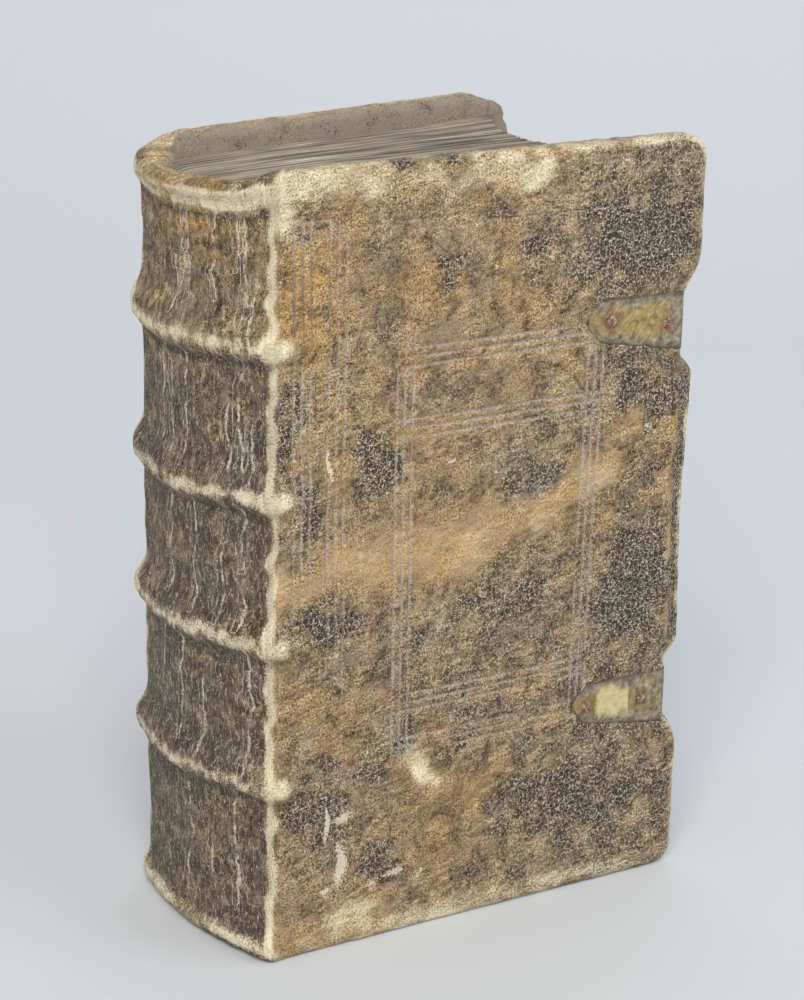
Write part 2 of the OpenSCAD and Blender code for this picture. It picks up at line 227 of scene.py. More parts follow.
def rag_paper():
    """Rag paper: felted linen, matt; its cut edges give fine streaks of cream, grey dust and brown damp, with
    painted shade in the gaps between gatherings.
    """
    material, t = new_material("rag_paper")
    place = add(t, "Attribute", {}, out=1, attribute_name="leaf_mm")
    # Leaves are 0.15 mm thick; drawn 0.35 mm apart so that they show
    edges_at = add(t, "VectorMath", {0: place, 1: (2.9, 0.03, 0.03)}, operation="MULTIPLY")
    edges = add(t, "TexNoise", {"Vector": edges_at, "Scale": 1.0, "Detail": 3.0, "Roughness": 0.7})
    packs_at = add(t, "VectorMath", {0: place, 1: (0.5, 0.02, 0.02)}, operation="MULTIPLY")
    packs = add(t, "TexNoise", {"Vector": packs_at, "Scale": 1.0, "Detail": 2.0})
    stain = add(t, "TexNoise", {"Vector": place, "Scale": 0.06, "Detail": 4.0, "Roughness": 0.6})
    streak = add(t, "Math", {0: edges, 1: 1.6, 2: packs}, operation="MULTIPLY_ADD")
    streak = add(t, "MapRange", {0: streak, 1: 0.9, 2: 1.75})
    shade = add(t, "ValToRGB", {0: streak}, stops=[
        (0.0, "#38342d"), (0.3, "#6f695d"), (0.55, "#978f7e"), (0.8, "#b9ae97"), (1.0, "#d8ceb6")])
    damp = add(t, "MapRange", {0: stain, 1: 0.5, 2: 0.75, 4: 0.55})
    shade = add(t, "Mix", {0: damp, 6: shade, 7: linear("#87765c")}, out=2, data_type="RGBA")
    # Painted shade in the gaps between gatherings, on the sides of each
    between = add(t, "Attribute", {}, out=2, attribute_name="between")
    painted_gap_shade = add(t, "MapRange", {0: between, 1: 0.35, 2: 1.0, 4: 0.75})
    shade = add(t, "Mix", {0: painted_gap_shade, 6: shade, 7: linear("#39342c")}, out=2, data_type="RGBA")
    # The first and the last leaf show their faces, browned in clouds of 20 mm
    page = add(t, "ValToRGB", {0: stain}, stops=[(0.3, "#7f705a"), (0.5, "#a6987d"), (0.7, "#bfb297")])
    outer = add(t, "Attribute", {}, out=2, attribute_name="outer")
    outer = add(t, "MapRange", {0: outer, 1: 0.85, 2: 0.97})
    shade = add(t, "Mix", {0: outer, 6: shade, 7: page}, out=2, data_type="RGBA")
    bump = add(t, "Bump", {"Height": edges, "Strength": 0.7, "Distance": 0.0004})
    shader = add(t, "BsdfPrincipled", {"Base Color": shade, "Roughness": 0.9, "Normal": bump})
    add(t, "OutputMaterial", {"Surface": shader})
    return material


leaves = sewn_leaves()
leaves.data.materials.append(rag_paper())
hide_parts("text_block")
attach(leaves, "book_block")


# The sewing bands and their slips. Twin hemp cords cross the back; their frayed ends are laid into
# grooves in the boards and wedged there with pegs. Leather hides them in the closed book.
band_heights = [45.6, 80.7, 115.8, 150.9]


def hemp_cord():
    """Laid hemp cord: twisted bast fibre, dull and hairy, with strands that cross it aslant."""
    material, t = new_material("hemp_cord")
    place = add(t, "TexCoord", {}, out=3)
    # Strands 0.9 mm wide
    twist = add(t, "TexWave", {"Vector": place, "Scale": 180.0, "Distortion": 1.5, "Detail": 2.0},
                bands_direction="DIAGONAL")
    hair = add(t, "TexNoise", {"Vector": place, "Scale": 2500.0, "Detail": 3.0})
    shade = add(t, "ValToRGB", {0: twist}, stops=[(0.0, "#6d5a3e"), (0.5, "#9c8660"), (1.0, "#b9a67f")])
    shade = add(t, "Mix", {0: hair, 6: shade, 7: linear("#7d6b4e")}, out=2, data_type="RGBA")
    bump = add(t, "Bump", {"Height": twist, "Strength": 0.8, "Distance": 0.0004})
    shader = add(t, "BsdfPrincipled", {"Base Color": shade, "Roughness": 0.95, "Normal": bump})
    add(t, "OutputMaterial", {"Surface": shader})
    return material


def dress(material, *nodes):
    """Gives solids of the frame their finish."""
    for name in nodes:
        slots = frame["nodes"][name].data.materials
        slots.clear()
        slots.append(material)


sewing_bands = [f"sewing_band_{i + 1}" for i in range(len(band_heights))]
slips = [f"{side}_slip_{i + 1}" for side in ("front", "back") for i in range(len(band_heights))]
dress(hemp_cord(), *sewing_bands, *slips)


# The endbands. A core of rolled cord sewn on at head and tail with undyed linen thread; the leather
# caps are drawn over them. The one at the head has slumped with its cap and follows the leather below.
def linen_thread():
    """Linen thread wound close round a core: a matt cream ribbed by its turns, grey in the hollows."""
    material, t = new_material("linen_thread")
    place = add(t, "TexCoord", {}, out=3)
    # Turns 0.8 mm apart
    turns = add(t, "TexWave", {"Vector": place, "Scale": 196.0, "Distortion": 0.6}, bands_direction="Y")
    shade = add(t, "ValToRGB", {0: turns}, stops=[(0.0, "#5f574a"), (0.5, "#9d9179"), (1.0, "#c0b396")])
    bump = add(t, "Bump", {"Height": turns, "Strength": 0.9, "Distance": 0.0004})
    shader = add(t, "BsdfPrincipled", {"Base Color": shade, "Roughness": 0.9, "Normal": bump})
    add(t, "OutputMaterial", {"Surface": shader})
    return material


thread = linen_thread()
dress(thread, "tail_endband")


# The linings and pastedowns. Laid paper pasted on the back between the bands and inside each board,
# browned by glue at its edges and foxed by damp.
def laid_paper():
    """Laid paper: faint parallel ribs from the mould, cream with rust-brown fox marks and glue stain."""
    material, t = new_material("laid_paper")
    place = add(t, "TexCoord", {}, out=3)
    # Laid lines 1.2 mm apart
    ribs = add(t, "TexWave", {"Vector": place, "Scale": 130.0, "Distortion": 0.5}, bands_direction="Z")
    cloud = add(t, "TexNoise", {"Vector": place, "Scale": 30.0, "Detail": 5.0, "Roughness": 0.6})
    foxing = add(t, "TexNoise", {"Vector": place, "Scale": 170.0, "Detail": 2.0})
    shade = add(t, "ValToRGB", {0: cloud}, stops=[(0.3, "#8f8066"), (0.5, "#b3a587"), (0.7, "#c6baa0")])
    spots = add(t, "MapRange", {0: foxing, 1: 0.66, 2: 0.76, 4: 0.7})
    shade = add(t, "Mix", {0: spots, 6: shade, 7: linear("#7a5a36")}, out=2, data_type="RGBA")
    bump = add(t, "Bump", {"Height": ribs, "Strength": 0.25, "Distance": 0.0001})
    shader = add(t, "BsdfPrincipled", {"Base Color": shade, "Roughness": 0.88, "Normal": bump})
    add(t, "OutputMaterial", {"Surface": shader})
    return material


linings = [f"spine_lining_{i + 1}" for i in range(len(band_heights) + 1)]
dress(laid_paper(), *linings, "front_pastedown", "back_pastedown")


# The boards and pegs. Split oak planed to five millimetres, grooved and drilled for the slips; the
# pegs that wedge the slips are whittled from the same wood.
def aged_oak():
    """Aged oak: long brown grain with darker pores, dulled by three centuries of dust."""
    material, t = new_material("aged_oak")
    place = add(t, "TexCoord", {}, out=3)
    # Growth rings 2.5 mm apart, drawn out along the height of the board
    grain_at = add(t, "VectorMath", {0: place, 1: (400.0, 400.0, 14.0)}, operation="MULTIPLY")
    grain = add(t, "TexNoise", {"Vector": grain_at, "Scale": 1.0, "Detail": 4.0, "Distortion": 0.6})
    pores_at = add(t, "VectorMath", {0: place, 1: (2600.0, 2600.0, 150.0)}, operation="MULTIPLY")
    pores = add(t, "TexNoise", {"Vector": pores_at, "Scale": 1.0, "Detail": 2.0})
    shade = add(t, "ValToRGB", {0: grain}, stops=[(0.3, "#3d2c1c"), (0.5, "#5f4529"), (0.7, "#7c5f3c")])
    dark = add(t, "MapRange", {0: pores, 1: 0.58, 2: 0.7, 4: 0.6})
    shade = add(t, "Mix", {0: dark, 6: shade, 7: linear("#2a1e14")}, out=2, data_type="RGBA")
    bump = add(t, "Bump", {"Height": grain, "Strength": 0.4, "Distance": 0.0003})
    shader = add(t, "BsdfPrincipled", {"Base Color": shade, "Roughness": 0.75, "Normal": bump})
    add(t, "OutputMaterial", {"Surface": shader})
    return material


def worn_board():
    """The back board, with the corners at its head worn away and its edges eased."""
    outline = [
        (0.4, 1), (110, 1), (113.5, 2.5), (115, 6), (115, 166), (112.6, 176), (109, 182.5), (106, 185),
        (102, 187), (96, 189), (14, 189), (6, 186), (0.4, 179),
    ]
    edge_profile = [(0.7, 1.0), (0.2, 1.2), (0, 1.7), (0, 5.3), (0.2, 5.8), (0.7, 6.0)]
    flat = np.array(outline, float)
    ahead_of = np.roll(flat, -1, 0) - flat
    ahead_of = ahead_of / np.linalg.norm(ahead_of, axis=1)[:, None]
    lean = ahead_of + np.roll(ahead_of, 1, 0)
    lean = lean / np.linalg.norm(lean, axis=1)[:, None]
    inward = np.stack([-lean[:, 1], lean[:, 0]], -1)
    points, faces, count = [], [], len(outline)
    for inset, depth in edge_profile:
        for u, z in flat + inward * inset:
            x, y = on_cover(u, depth)
            points.append((x, -y, z))
    last = len(edge_profile) - 1
    for ring in range(last):
        for k in range(count):
            a, b = ring * count + k, ring * count + (k + 1) % count
            faces.append((a, b, b + count, a + count))
    faces.append(tuple(reversed(range(count))))
    faces.append(tuple(range(last * count, (last + 1) * count)))
    return make_piece("back_board_worn", points, faces)


oak = aged_oak()
dress(oak, "front_board", "front_lacing_pegs", "back_lacing_pegs")
back_board = worn_board()
back_board.data.materials.append(oak)
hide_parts("back_board")
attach(back_board, "back_cover")


# The leather. One calfskin drawn over back and boards, moulded round the bands, turned in at the edges
# and tooled blind with triple lines. It is laid out flat here: s runs in mm from the front joint, up
# to the fore-edge of the front cover (s > 0) and the other way over the back to the back cover.
arc_half = math.asin(half_back / back_r)
spine_arc = 2 * back_r * arc_half
mid_h = cover_h / 2
joint_round = 2.8
seam = 5.0
joint_end = 8.0
cover_edge = 2.2
corner_r = 6.0
turn_in = 16
head_roll = 2.5
tail_roll = 2.9
cap_rise = 1.4
cap_flare = 2.4
band_rise = 2.0
slip_rise = 0.8
tool_depth = 0.5


def ease(low, high, x):
    """Smooth step from 0 at low to 1 at high."""
    k = np.clip((x - low) / (high - low), 0, 1)
    return k * k * (3 - 2 * k)


def bell(x, width):
    """1 where x is 0, falling away to both sides over a width."""
    return np.exp(-((x / width) ** 2))


def half_plan(u):
    """Plan point and outward direction over the front half of the skin; u is s there."""
    angle = -arc_half - np.minimum(u, 0) / back_r
    back_at = np.stack([back_x - back_r * np.cos(angle), back_r * np.sin(angle)], -1)
    back_out = np.stack([-np.cos(angle), np.sin(angle)], -1)
    along = np.array([math.cos(gape), -math.sin(gape)])
    out = np.array([-math.sin(gape), -math.cos(gape)])
    corner = np.array([0, -half_back])
    cover_at = corner + u[..., None] * along
    start_angle = -arc_half + joint_round / back_r
    start = np.array([back_x - back_r * math.cos(start_angle), back_r * math.sin(start_angle)])
    end = corner + joint_round * along
    k = np.clip((u + joint_round) / (2 * joint_round), 0, 1)[..., None]
    bend_at = (1 - k) ** 2 * start + 2 * k * (1 - k) * corner + k**2 * end
    travel = (1 - k) * (corner - start) + k * (end - corner)
    bend_out = np.stack([travel[..., 1], -travel[..., 0]], -1)
    bend_out = bend_out / np.linalg.norm(bend_out, axis=-1, keepdims=True)
    on_back = (u <= -joint_round)[..., None]
    on_board = (u >= joint_round)[..., None]
    at = np.where(on_back, back_at, np.where(on_board, cover_at, bend_at))
    way = np.where(on_back, back_out, np.where(on_board, np.broadcast_to(out, at.shape), bend_out))
    return at, way


def past_joint(s):
    """Distance past the nearer joint: above 0 on the covers, below 0 on the back."""
    return np.maximum(s, -spine_arc - s)


def on_skin(u, mirror):
    """Place on the skin at a distance past the front joint, or past the back one if mirrored."""
    return -spine_arc - u if mirror else u


def side_of(s):
    """1 on the front half of the skin, -1 on the back half."""
    return np.where(s < -spine_arc / 2, -1.0, 1.0)


def plan(s):
    """Plan point and outward direction anywhere on the skin."""
    s = np.asarray(s, float)
    at, way = half_plan(past_joint(s))
    flip = side_of(s)
    at = np.stack([at[..., 0], at[..., 1] * flip], -1)
    way = np.stack([way[..., 0], way[..., 1] * flip], -1)
    return at, way


def inner_plan(s):
    """Plan point on the inner side of the turned-in edge, drawn straight past the joint."""
    s = np.asarray(s, float)
    u = past_joint(s)
    at, way = half_plan(u)
    cap_t = 2 * head_roll + cap_flare * ease(-12, -seam, u)
    free = at - way * np.where(u < 0, cap_t, cover_t)[..., None]
    near, near_way = half_plan(np.array([-seam, joint_end]))
    first = near[0] - near_way[0] * (2 * head_roll + cap_flare)
    last = near[1] - near_way[1] * cover_t
    k = np.clip((u + seam) / (joint_end + seam), 0, 1)[..., None]
    inner = np.where((k > 0) & (k < 1), first + (last - first) * k, free)
    return np.stack([inner[..., 0], inner[..., 1] * side_of(s)], -1)


# Tooled lines in triples, in mm from the joint and from the tail: the middle one, where it starts and
# ends, and how much of it is left
line_gap = 2.1
line_w = 0.45
upright_triples = [
    (7.4, 98, 179, 0.95), (16.3, 98, 179, 1.0), (7.4, 10, 96, 0.45), (16.3, 10, 96, 0.55),
    (106.1, 10, 179, 0.45), (34.2, 46, 150, 0.95), (85.7, 46, 150, 1.0),
]
level_triples = [
    (176.6, 6, 109, 0.6), (144.9, 33, 88, 1.0), (128.0, 33, 88, 1.0), (60.2, 33, 88, 0.95),
    (49.0, 33, 88, 0.85), (14.1, 6, 109, 0.45),
]


def lines_at(triples):
    """Place of each single line."""
    return [triple[0] + d for triple in triples for d in (-line_gap, 0, line_gap)]


def near_lines(across, along, triples, width):
    """How near a place is to lines that run one way, from 0 to 1 times what is left of them."""
    near = np.zeros_like(across)
    for triple in triples:
        _, start, end, left = triple
        whole = ease(start - 2, start, along) * (1 - ease(end, end + 2, along)) * left
        for at in lines_at([triple]):
            near = np.maximum(near, bell(across - at, width) * whole)
    return near


def near_tooling(u, z, width):
    """How near a place is to any tooled line."""
    return np.maximum(near_lines(u, z, upright_triples, width), near_lines(z, u, level_triples, width))


def tooling(s, z):
    """Depth of the blind tooling from 0 to 1."""
    u = past_joint(s)
    fade = 0.88 + 0.45 * lumps(u, z, 9, 21) + 0.3 * lumps(u, z, 2.5, 22)
    return near_tooling(u, z, line_w) * np.clip(fade, 0.1, 1)


def band_drop(s):
    """How far the bands have slipped down towards the back cover."""
    return 2.4 * ease(4, 38, -s) * (1 - ease(48, 62, -s))


def band_swell(s, z):
    """Swell of the bands up the back from 0 to 1: a long slope above each, a short one below."""
    swell = np.zeros_like(z)
    drop = band_drop(s)
    for at in band_heights:
        up = z - at + drop
        above = 1 - ease(1.0, 8.0 + drop, up)
        below = 1 - ease(1.6, 4.6, -up)
        swell = np.maximum(swell, np.where(up > 0, above, below))
    return swell


slump_at = (-68, -64, -60, -57, -54, -50, -45, -29, -14, -8, -4.5, -2, 1.0)
slump_height = (190, 189.4, 187.9, 186.3, 185.1, 184.4, 184.2, 185.2, 186.6, 187.7, 189.3, 189.7, 190)


def head_line(s):
    """Height of the head of the skin: level on the covers, sunk over the back where the cap has slumped."""
    return np.interp(s, slump_at, slump_height)


# The fore-edge of the front cover is cut back at the two catches and bevelled between them
notch_depth = 3.8
bevel_u = 110.4
bevel_depth = 3.4


def notches(z):
    """How far the fore-edge of the front cover is cut back at the catches."""
    upper = ease(161, 150, z) * ease(130, 136, z)
    lower = ease(62, 58, z) * ease(33, 44, z)
    return notch_depth * np.maximum(upper, lower)


def bevel(u, z):
    """Depth of the bevel along the fore-edge of the front cover, between the catches."""
    between = ease(58, 62, z) * (1 - ease(131, 136, z))
    return np.clip((u - bevel_u) / (cover_w - bevel_u), 0, 1) * bevel_depth * between


# The beds of the catch plates: height of each plate's tip, and how it slants
plate_tip_u = 83.4
plate_end_u = cover_w - notch_depth
plate_beds = {"upper_catch_plate": (147.7, -0.095), "lower_catch_plate": (50.0, -0.085)}
bed_depth = 0.35


def plate_half(u):
    """Half the width of a catch plate, which tapers to a blunt tip."""
    along = (plate_tip_u, plate_tip_u + 0.6, plate_tip_u + 4, plate_end_u)
    return np.interp(u, along, (0.5, 1.4, 5.2, 7.3))


def plate_bed(s, z):
    """1 under a catch plate, 0 away from it."""
    bed = np.zeros_like(s)
    for tip_z, lean in plate_beds.values():
        off = np.abs(z - tip_z - lean * (s - plate_tip_u)) - plate_half(s)
        bed = np.maximum(bed, ease(0.6, -0.4, off) * ease(plate_tip_u - 0.6, plate_tip_u + 0.4, s))
    return bed


def relief(s, z):
    """How far the face of the leather stands out of its plain shape, in mm."""
    u = past_joint(s)
    back = 1 - ease(-4.0, 1.0, u)
    swell = band_swell(s, z)
    sag = -0.45 * back * (1 - swell) * ease(-9, -3, mid_h - 12 - np.abs(z - mid_h))
    across = band_rise + (slip_rise - band_rise) * ease(-1.0, 6.0, u)
    across = across * (1 - ease(13.0, 21.0, u))
    knob = np.zeros_like(u)
    for at in band_heights:
        knob = np.maximum(knob, bell(u - 1.5, 4.2) * bell(z - at, 3.6))
    wave = 0.16 * lumps(s, z, 17, 31) + 0.1 * lumps(s, z, 6, 32)
    wave = wave + 0.35 * bell(u, 4) * (0.7 + lumps(s * 0.5, z, 5, 36))
    cracks = -0.08 * back * np.clip(lumps(s, z * 0.12, 1.7, 33), 0, 1)
    lumpy = 0.22 * (swell * back + knob) * lumps(s, z, 3.2, 34)
    free = sag + across * swell + knob + wave + cracks + lumpy - tool_depth * tooling(s, z)
    bed = plate_bed(s, z)
    return free * (1 - bed) - bed_depth * bed


def spread(low, high, step, lines=()):
    """Grid places from low to high, closer round the tooled lines."""
    plain = np.linspace(low, high, int(round((high - low) / step)) + 1)
    close = np.array([at + d for at in lines for d in (-0.75, -0.36, 0, 0.36, 0.75)])
    close = close[(close > low + 0.2) & (close < high - 0.2)] if len(close) else close
    kept = [p for p in plain[1:-1] if len(close) == 0 or np.abs(close - p).min() > 0.5]
    return np.unique(np.round(np.concatenate([[low, high], kept, close]), 3))


rows = spread(cover_edge, cover_h - cover_edge, 1.15, lines_at(level_triples))
joint_columns = spread(-seam, 4.0, 0.5)
face_columns = spread(4.0, cover_w - cover_edge, 1.0, lines_at(upright_triples))
cover_columns = np.unique(np.concatenate([joint_columns, face_columns]))
spine_columns = spread(-spine_arc + seam, -seam, 0.8)


def cap_roll(z, edge, roll):
    """Outline of a cap over its endband: stands proud at the end and falls in below it."""
    down = np.clip(np.abs(z - edge), 0, roll * 0.98)
    return cap_rise - (roll - np.sqrt(roll**2 - down**2))


def face_of_skin(s, z):
    """How far the leather stands out, with the caps at head and tail added."""
    u = past_joint(s)
    on_cap = 1 - ease(-3.0, 2.5, u)
    wobble = 0.25 * lumps(s, z, 4.5, 35)
    head = cap_roll(z, rows[-1], head_roll) + wobble
    tail = cap_roll(z, rows[0], tail_roll) + wobble
    cap = np.where(z > mid_h, head, tail)
    ends = ease(mid_h - 9, mid_h - 5, np.abs(z - mid_h))
    stand = relief(s, z) + 1.3 * ends * bell(u + 0.8, 2.6)
    return np.maximum(stand, cap * on_cap - 3 * (1 - on_cap))


def settled(s, z):
    """Height at which a row of the grid lies: caps are thicker than edges, and the head has slumped."""
    cap = 1 - ease(-4.0, 2.0, past_joint(s))
    room = 24.0
    top = head_line(s) - cover_edge - cap * (head_roll - cover_edge)
    foot = cover_edge + cap * (tail_roll - cover_edge)
    head = np.clip((z - rows[-1] + room) / room, 0, 1)
    tail = np.clip((rows[0] + room - z) / room, 0, 1)
    return z + head * (top - rows[-1]) + tail * (foot - rows[0])


def laid_out(u, z, side):
    """Where the grid of one side lies: corners rounded, notches cut, a corner worn off, lines drifted."""
    place_u, place_z = u.copy(), settled(on_skin(u, side == "back"), z)
    if side == "spine":
        return place_u, place_z
    r = corner_r - cover_edge
    for low, way in ((cover_h - corner_r, 1), (corner_r, -1)):
        a = np.clip((u - (cover_w - corner_r)) / r, 0, None)
        b = np.clip((z - low) * way / r, 0, None)
        inside = (a > 0) & (b > 0)
        shrink = np.maximum(a, b) / np.maximum(np.hypot(a, b), 1e-9)
        place_u = np.where(inside, cover_w - corner_r + a * shrink * r, place_u)
        place_z = np.where(inside, low + way * b * shrink * r, place_z)
    if side == "front":
        pull = ease(100, cover_w - cover_edge, u)
        cut = notches(z)
        swell = 0.9 * (1 - cut / notch_depth) - cut
        place_u = place_u + pull * swell * ease(0, 40, np.abs(z - mid_h))
    else:
        worn = ease(98, 113, u) * ease(166, 187, z) * (1 + 0.22 * lumps(u, z, 2.6, 42))
        place_u = place_u - 4.6 * worn
        place_z = place_z - 2.4 * worn
    drift = 0.35 * lumps(u, z, 30, 41) * ease(2, 12, u) * (1 - ease(108, 113, u))
    drift = drift + 0.016 * (z - 108) * ease(40, 84, u) * (1 - ease(92, 104, u))
    return place_u + drift, place_z


def grid_faces(number, mirror):
    """The quads between rows of point numbers."""
    faces = []
    for low, high in zip(number[:-1].tolist(), number[1:].tolist()):
        for k in range(len(low) - 1):
            quad = (low[k], high[k], high[k + 1], low[k + 1])
            faces.append(quad[::-1] if mirror else quad)
    return faces


def edge_rings(edge, start, span):
    """Rings over an edge and under the turn-in: how far out, how deep, share turned and share tucked in."""
    rings = []
    for turn in (30, 60, 90):
        c, d = math.cos(math.radians(turn)), math.sin(math.radians(turn))
        rings.append((edge * d, start * c + np.maximum(edge, start * 0.5 + edge) * (1 - c), 0.5, 0))
    for turn, inside in ((90, 0.64), (60, 0.8), (30, 0.95), (0, 1.0)):
        c, d = math.cos(math.radians(turn)), math.sin(math.radians(turn))
        rings.append((edge * d, span - edge * (1 - c), inside, 0))
    level = 0 * edge
    return rings + [(level, span, 1.0, 0.5), (level, span, 1.0, 1.0), (level, span - 1.0, 1.0, 1.0)]


def skin_over(name, columns, side):
    """A part of the skin: its face as a grid, then its edges swept over and turned in."""
    mirror = side == "back"
    n, m = len(columns), len(rows)
    u = np.repeat(columns[:, None], m, 1)
    z = np.repeat(rows[None, :], n, 0)
    s = on_skin(u, mirror)
    place_u, place_z = laid_out(u, z, side)
    at, way = plan(on_skin(place_u, mirror))
    stand = face_of_skin(s, z)
    if side == "front":
        stand = stand - bevel(u, z)
    face = np.concatenate([at + way * stand[..., None], place_z[..., None]], -1)
    number = np.arange(n * m).reshape(n, m)
    faces = grid_faces(number, mirror)
    points = [face.reshape(-1, 3)]
    grain = [np.stack([s, z, 0 * z], -1).reshape(-1, 3)]
    turned = [np.zeros(n * m)]
    total = n * m
    # The border: along the tail, up the fore-edge and back along the head
    tail = [(i, 0) for i in range(n)]
    head = [(i, m - 1) for i in range(n - 1, -1, -1)]
    fore = [(n - 1, j) for j in range(1, m - 1)]
    for path in ([tail, head] if side == "spine" else [tail + fore + head]):
        i, j = np.array(path).T
        at_tail = j == 0
        border_u, border_z = place_u[i, j], place_z[i, j]
        border_s = on_skin(border_u, mirror)
        out_u, out_z = np.zeros(len(path)), np.where(at_tail, -1.0, 1.0)
        if side != "spine":
            du, dz = np.gradient(border_u), np.gradient(border_z)
            length = np.maximum(np.hypot(du, dz), 1e-9)
            at_corner = i >= n - 8
            out_u = np.where(at_corner, dz / length, out_u)
            out_z = np.where(at_corner, -du / length, out_z)
        outer, away = plan(border_s)
        inward = inner_plan(border_s) - outer
        span = np.linalg.norm(inward, axis=-1)
        sign = -1 if mirror else 1
        tangent = np.stack([-away[:, 1], away[:, 0]], -1) * sign
        cap = 1 - ease(-4.0, 2.0, border_u)
        edge = cover_edge + cap * (np.where(at_tail, tail_roll, head_roll) - cover_edge)
        lump = 0.14 * lumps(border_s, border_z + 300, 3.0, 51) + 0.1 * lumps(border_s, border_z, 1.4, 52)
        window_u = np.minimum(border_u, cover_w - turn_in)
        open_z = np.clip(border_z, turn_in, cover_h - turn_in)
        lip = cap * np.where(at_tail, 0.9, -0.9)
        window_z = border_z + lip + (open_z - border_z) * ease(-1.0, 4.0, border_u)
        lines = [number[i, j]]
        reach, last = np.zeros(len(path)), face[i, j]
        for out, depth, inside, tuck in edge_rings(edge, -stand[i, j], span):
            base, lean = outer, inward / span[:, None]
            if tuck:
                tucked_s = on_skin(border_u + (window_u - border_u) * tuck, mirror)
                base, _ = plan(tucked_s)
                lean = inner_plan(tucked_s) - base
                lean = lean / np.linalg.norm(lean, axis=-1)[:, None]
            grow = out + lump * (out > 0)
            flat = base + tangent * (out_u * grow)[:, None] + lean * depth[:, None]
            height = border_z + (window_z - border_z) * tuck + out_z * grow
            ring = np.concatenate([flat, height[:, None]], -1)
            reach = reach + np.linalg.norm(ring - last, axis=-1)
            last = ring
            points.append(ring)
            grain.append(np.stack([border_s + sign * out_u * reach, border_z + out_z * reach, 0 * reach], -1))
            turned.append(np.full(len(path), inside))
            lines.append(total + np.arange(len(path)))
            total += len(path)
        faces += grid_faces(np.stack(lines), mirror)
    grain = np.concatenate(grain)
    state = state_of_skin(grain[:, 0], grain[:, 1], np.concatenate(turned))
    return make_piece(name, np.concatenate(points), faces, skin_mm=grain, **state)


# Where the face is blackened, pale, golden or flaked: place (mm from joint and tail), half sizes,
# strength and lean
black_spots = [
    (97, 166, 20, 10, 1.25, 0), (70, 164, 14, 7, 0.65, 0), (100, 130, 13, 10, 0.85, 0),
    (70, 110, 13, 6, 0.75, 0.25), (101, 80, 13, 18, 1.0, 0), (66, 81, 17, 11, 0.62, 0),
    (25, 121, 6, 11, 0.8, 0), (10, 84, 11, 5, 0.85, 0), (4, 133, 4, 15, 0.75, 0),
    (57, 54, 24, 11, 0.5, 0), (84, 26, 27, 16, 0.78, 0), (12, 38, 15, 14, 0.72, 0),
    (28, 20, 12, 8, 0.7, 0), (45, 163, 7, 5, 0.6, 0.4), (30, 52, 14, 12, 0.5, 0), (6, 108, 7, 16, 0.6, 0),
]
pale_spots = [
    (11, 187, 10, 4, 0.62, 0), (38, 187, 11, 3.5, 0.66, 0), (66, 185, 11, 4.5, 0.85, 0),
    (41, 42, 3.2, 8, 1.0, 0.75), (22, 7, 11, 6, 0.85, 0), (18.5, 151.5, 2.4, 1.6, 0.7, 0),
    (18, 45, 2.2, 2.0, 0.6, 0), (31, 54, 5, 6, 0.5, 0), (60, 3, 40, 5, 0.6, 0), (1, 182, 5, 8, 1.0, 0),
]
ochre_spots = [
    (9, 160, 11, 24, 1.0, 0), (55, 160, 40, 14, 0.45, 0), (55, 105, 26, 12, 0.4, 0),
    (-29, 178, 26, 14, 0.6, 0),
]
flake_spots = [
    (14.2, 33, 0.9, 5.5, 1, 0.05), (19, 34, 3.8, 1.4, 1, 0.2), (18, 22, 1.8, 7, 1, -0.1),
    (14, 16, 1.6, 1.2, 1, 0.5), (33.5, 16.5, 3.0, 1.0, 1, 0.35), (41, 14.5, 1.4, 1.0, 1, 0.6),
    (14, 122, 0.8, 4.6, 1, 0.1), (46, 118, 2.0, 0.9, 0.9, 0.2), (103, 119, 1.3, 1.1, 0.9, 0),
    (58, 113, 1.2, 0.8, 0.8, 0.3), (28, 14, 2.2, 0.7, 0.9, 0.2),
]


def spots(u, z, places, ragged=0.0):
    """Soft blots at the places listed, with ragged outlines; the strongest counts."""
    most = np.zeros_like(u)
    u = u + ragged * (lumps(u, z, 7, 71) + 0.6 * lumps(u, z, 3, 72))
    z = z + ragged * (lumps(u, z, 7, 73) + 0.6 * lumps(u, z, 3, 74))
    for at, height, wide, tall, strength, lean in places:
        a = (u - at) * math.cos(lean) + (z - height) * math.sin(lean)
        b = (z - height) * math.cos(lean) - (u - at) * math.sin(lean)
        most = np.maximum(most, strength * np.exp(-(((a / wide) ** 2 + (b / tall) ** 2) ** 1.5)))
    return most


# Upright cracks in the back: place from the front joint, and where each starts and ends
back_cracks = [
    (-29, 150, 183), (-31, 118, 148), (-8.5, 156, 186), (-10, 120, 150), (-19, 160, 182), (-27, 84, 114),
    (-9, 84, 112), (-34, 50, 80), (-7, 48, 78), (-30, 10, 42), (-12, 12, 42), (-42, 120, 146),
    (-44, 60, 78), (-34, 154, 168), (-14, 118, 136), (-5.5, 150, 166), (-37, 119, 140), (-24, 48, 66),
    (-16, 84, 100), (-38, 86, 108), (-20, 14, 30), (-6, 118, 132), (-31.5, 160, 184), (-11, 168, 186),
]
crack_reach = 2.0


def off_cracks(s, z):
    """Distance in mm to the nearest crack in the back, below 0 on its one side, up to the reach of cracks."""
    off = np.full_like(s, crack_reach)
    for at, foot, head in back_cracks:
        here = s - at - 1.1 * lumps(z, 0 * z + at, 5, 79) - 0.5 * lumps(z, 0 * z + at, 1.8, 80)
        far = np.maximum(np.maximum(foot - z, z - head), 0)
        here = np.where(here < 0, -1, 1) * np.hypot(here, far)
        off = np.where(np.abs(here) < np.abs(off), here, off)
    return np.clip(off, -crack_reach, crack_reach)


def strongest(*fields):
    """The greatest of several fields at each point."""
    return np.maximum.reduce(fields)


# The middle of the tan smear over the front cover, which rises to the fore-edge
smear_u = (0, 50, 75, 90, 104)
smear_height = (97, 98, 104, 112, 124)
smear_half = 7.5


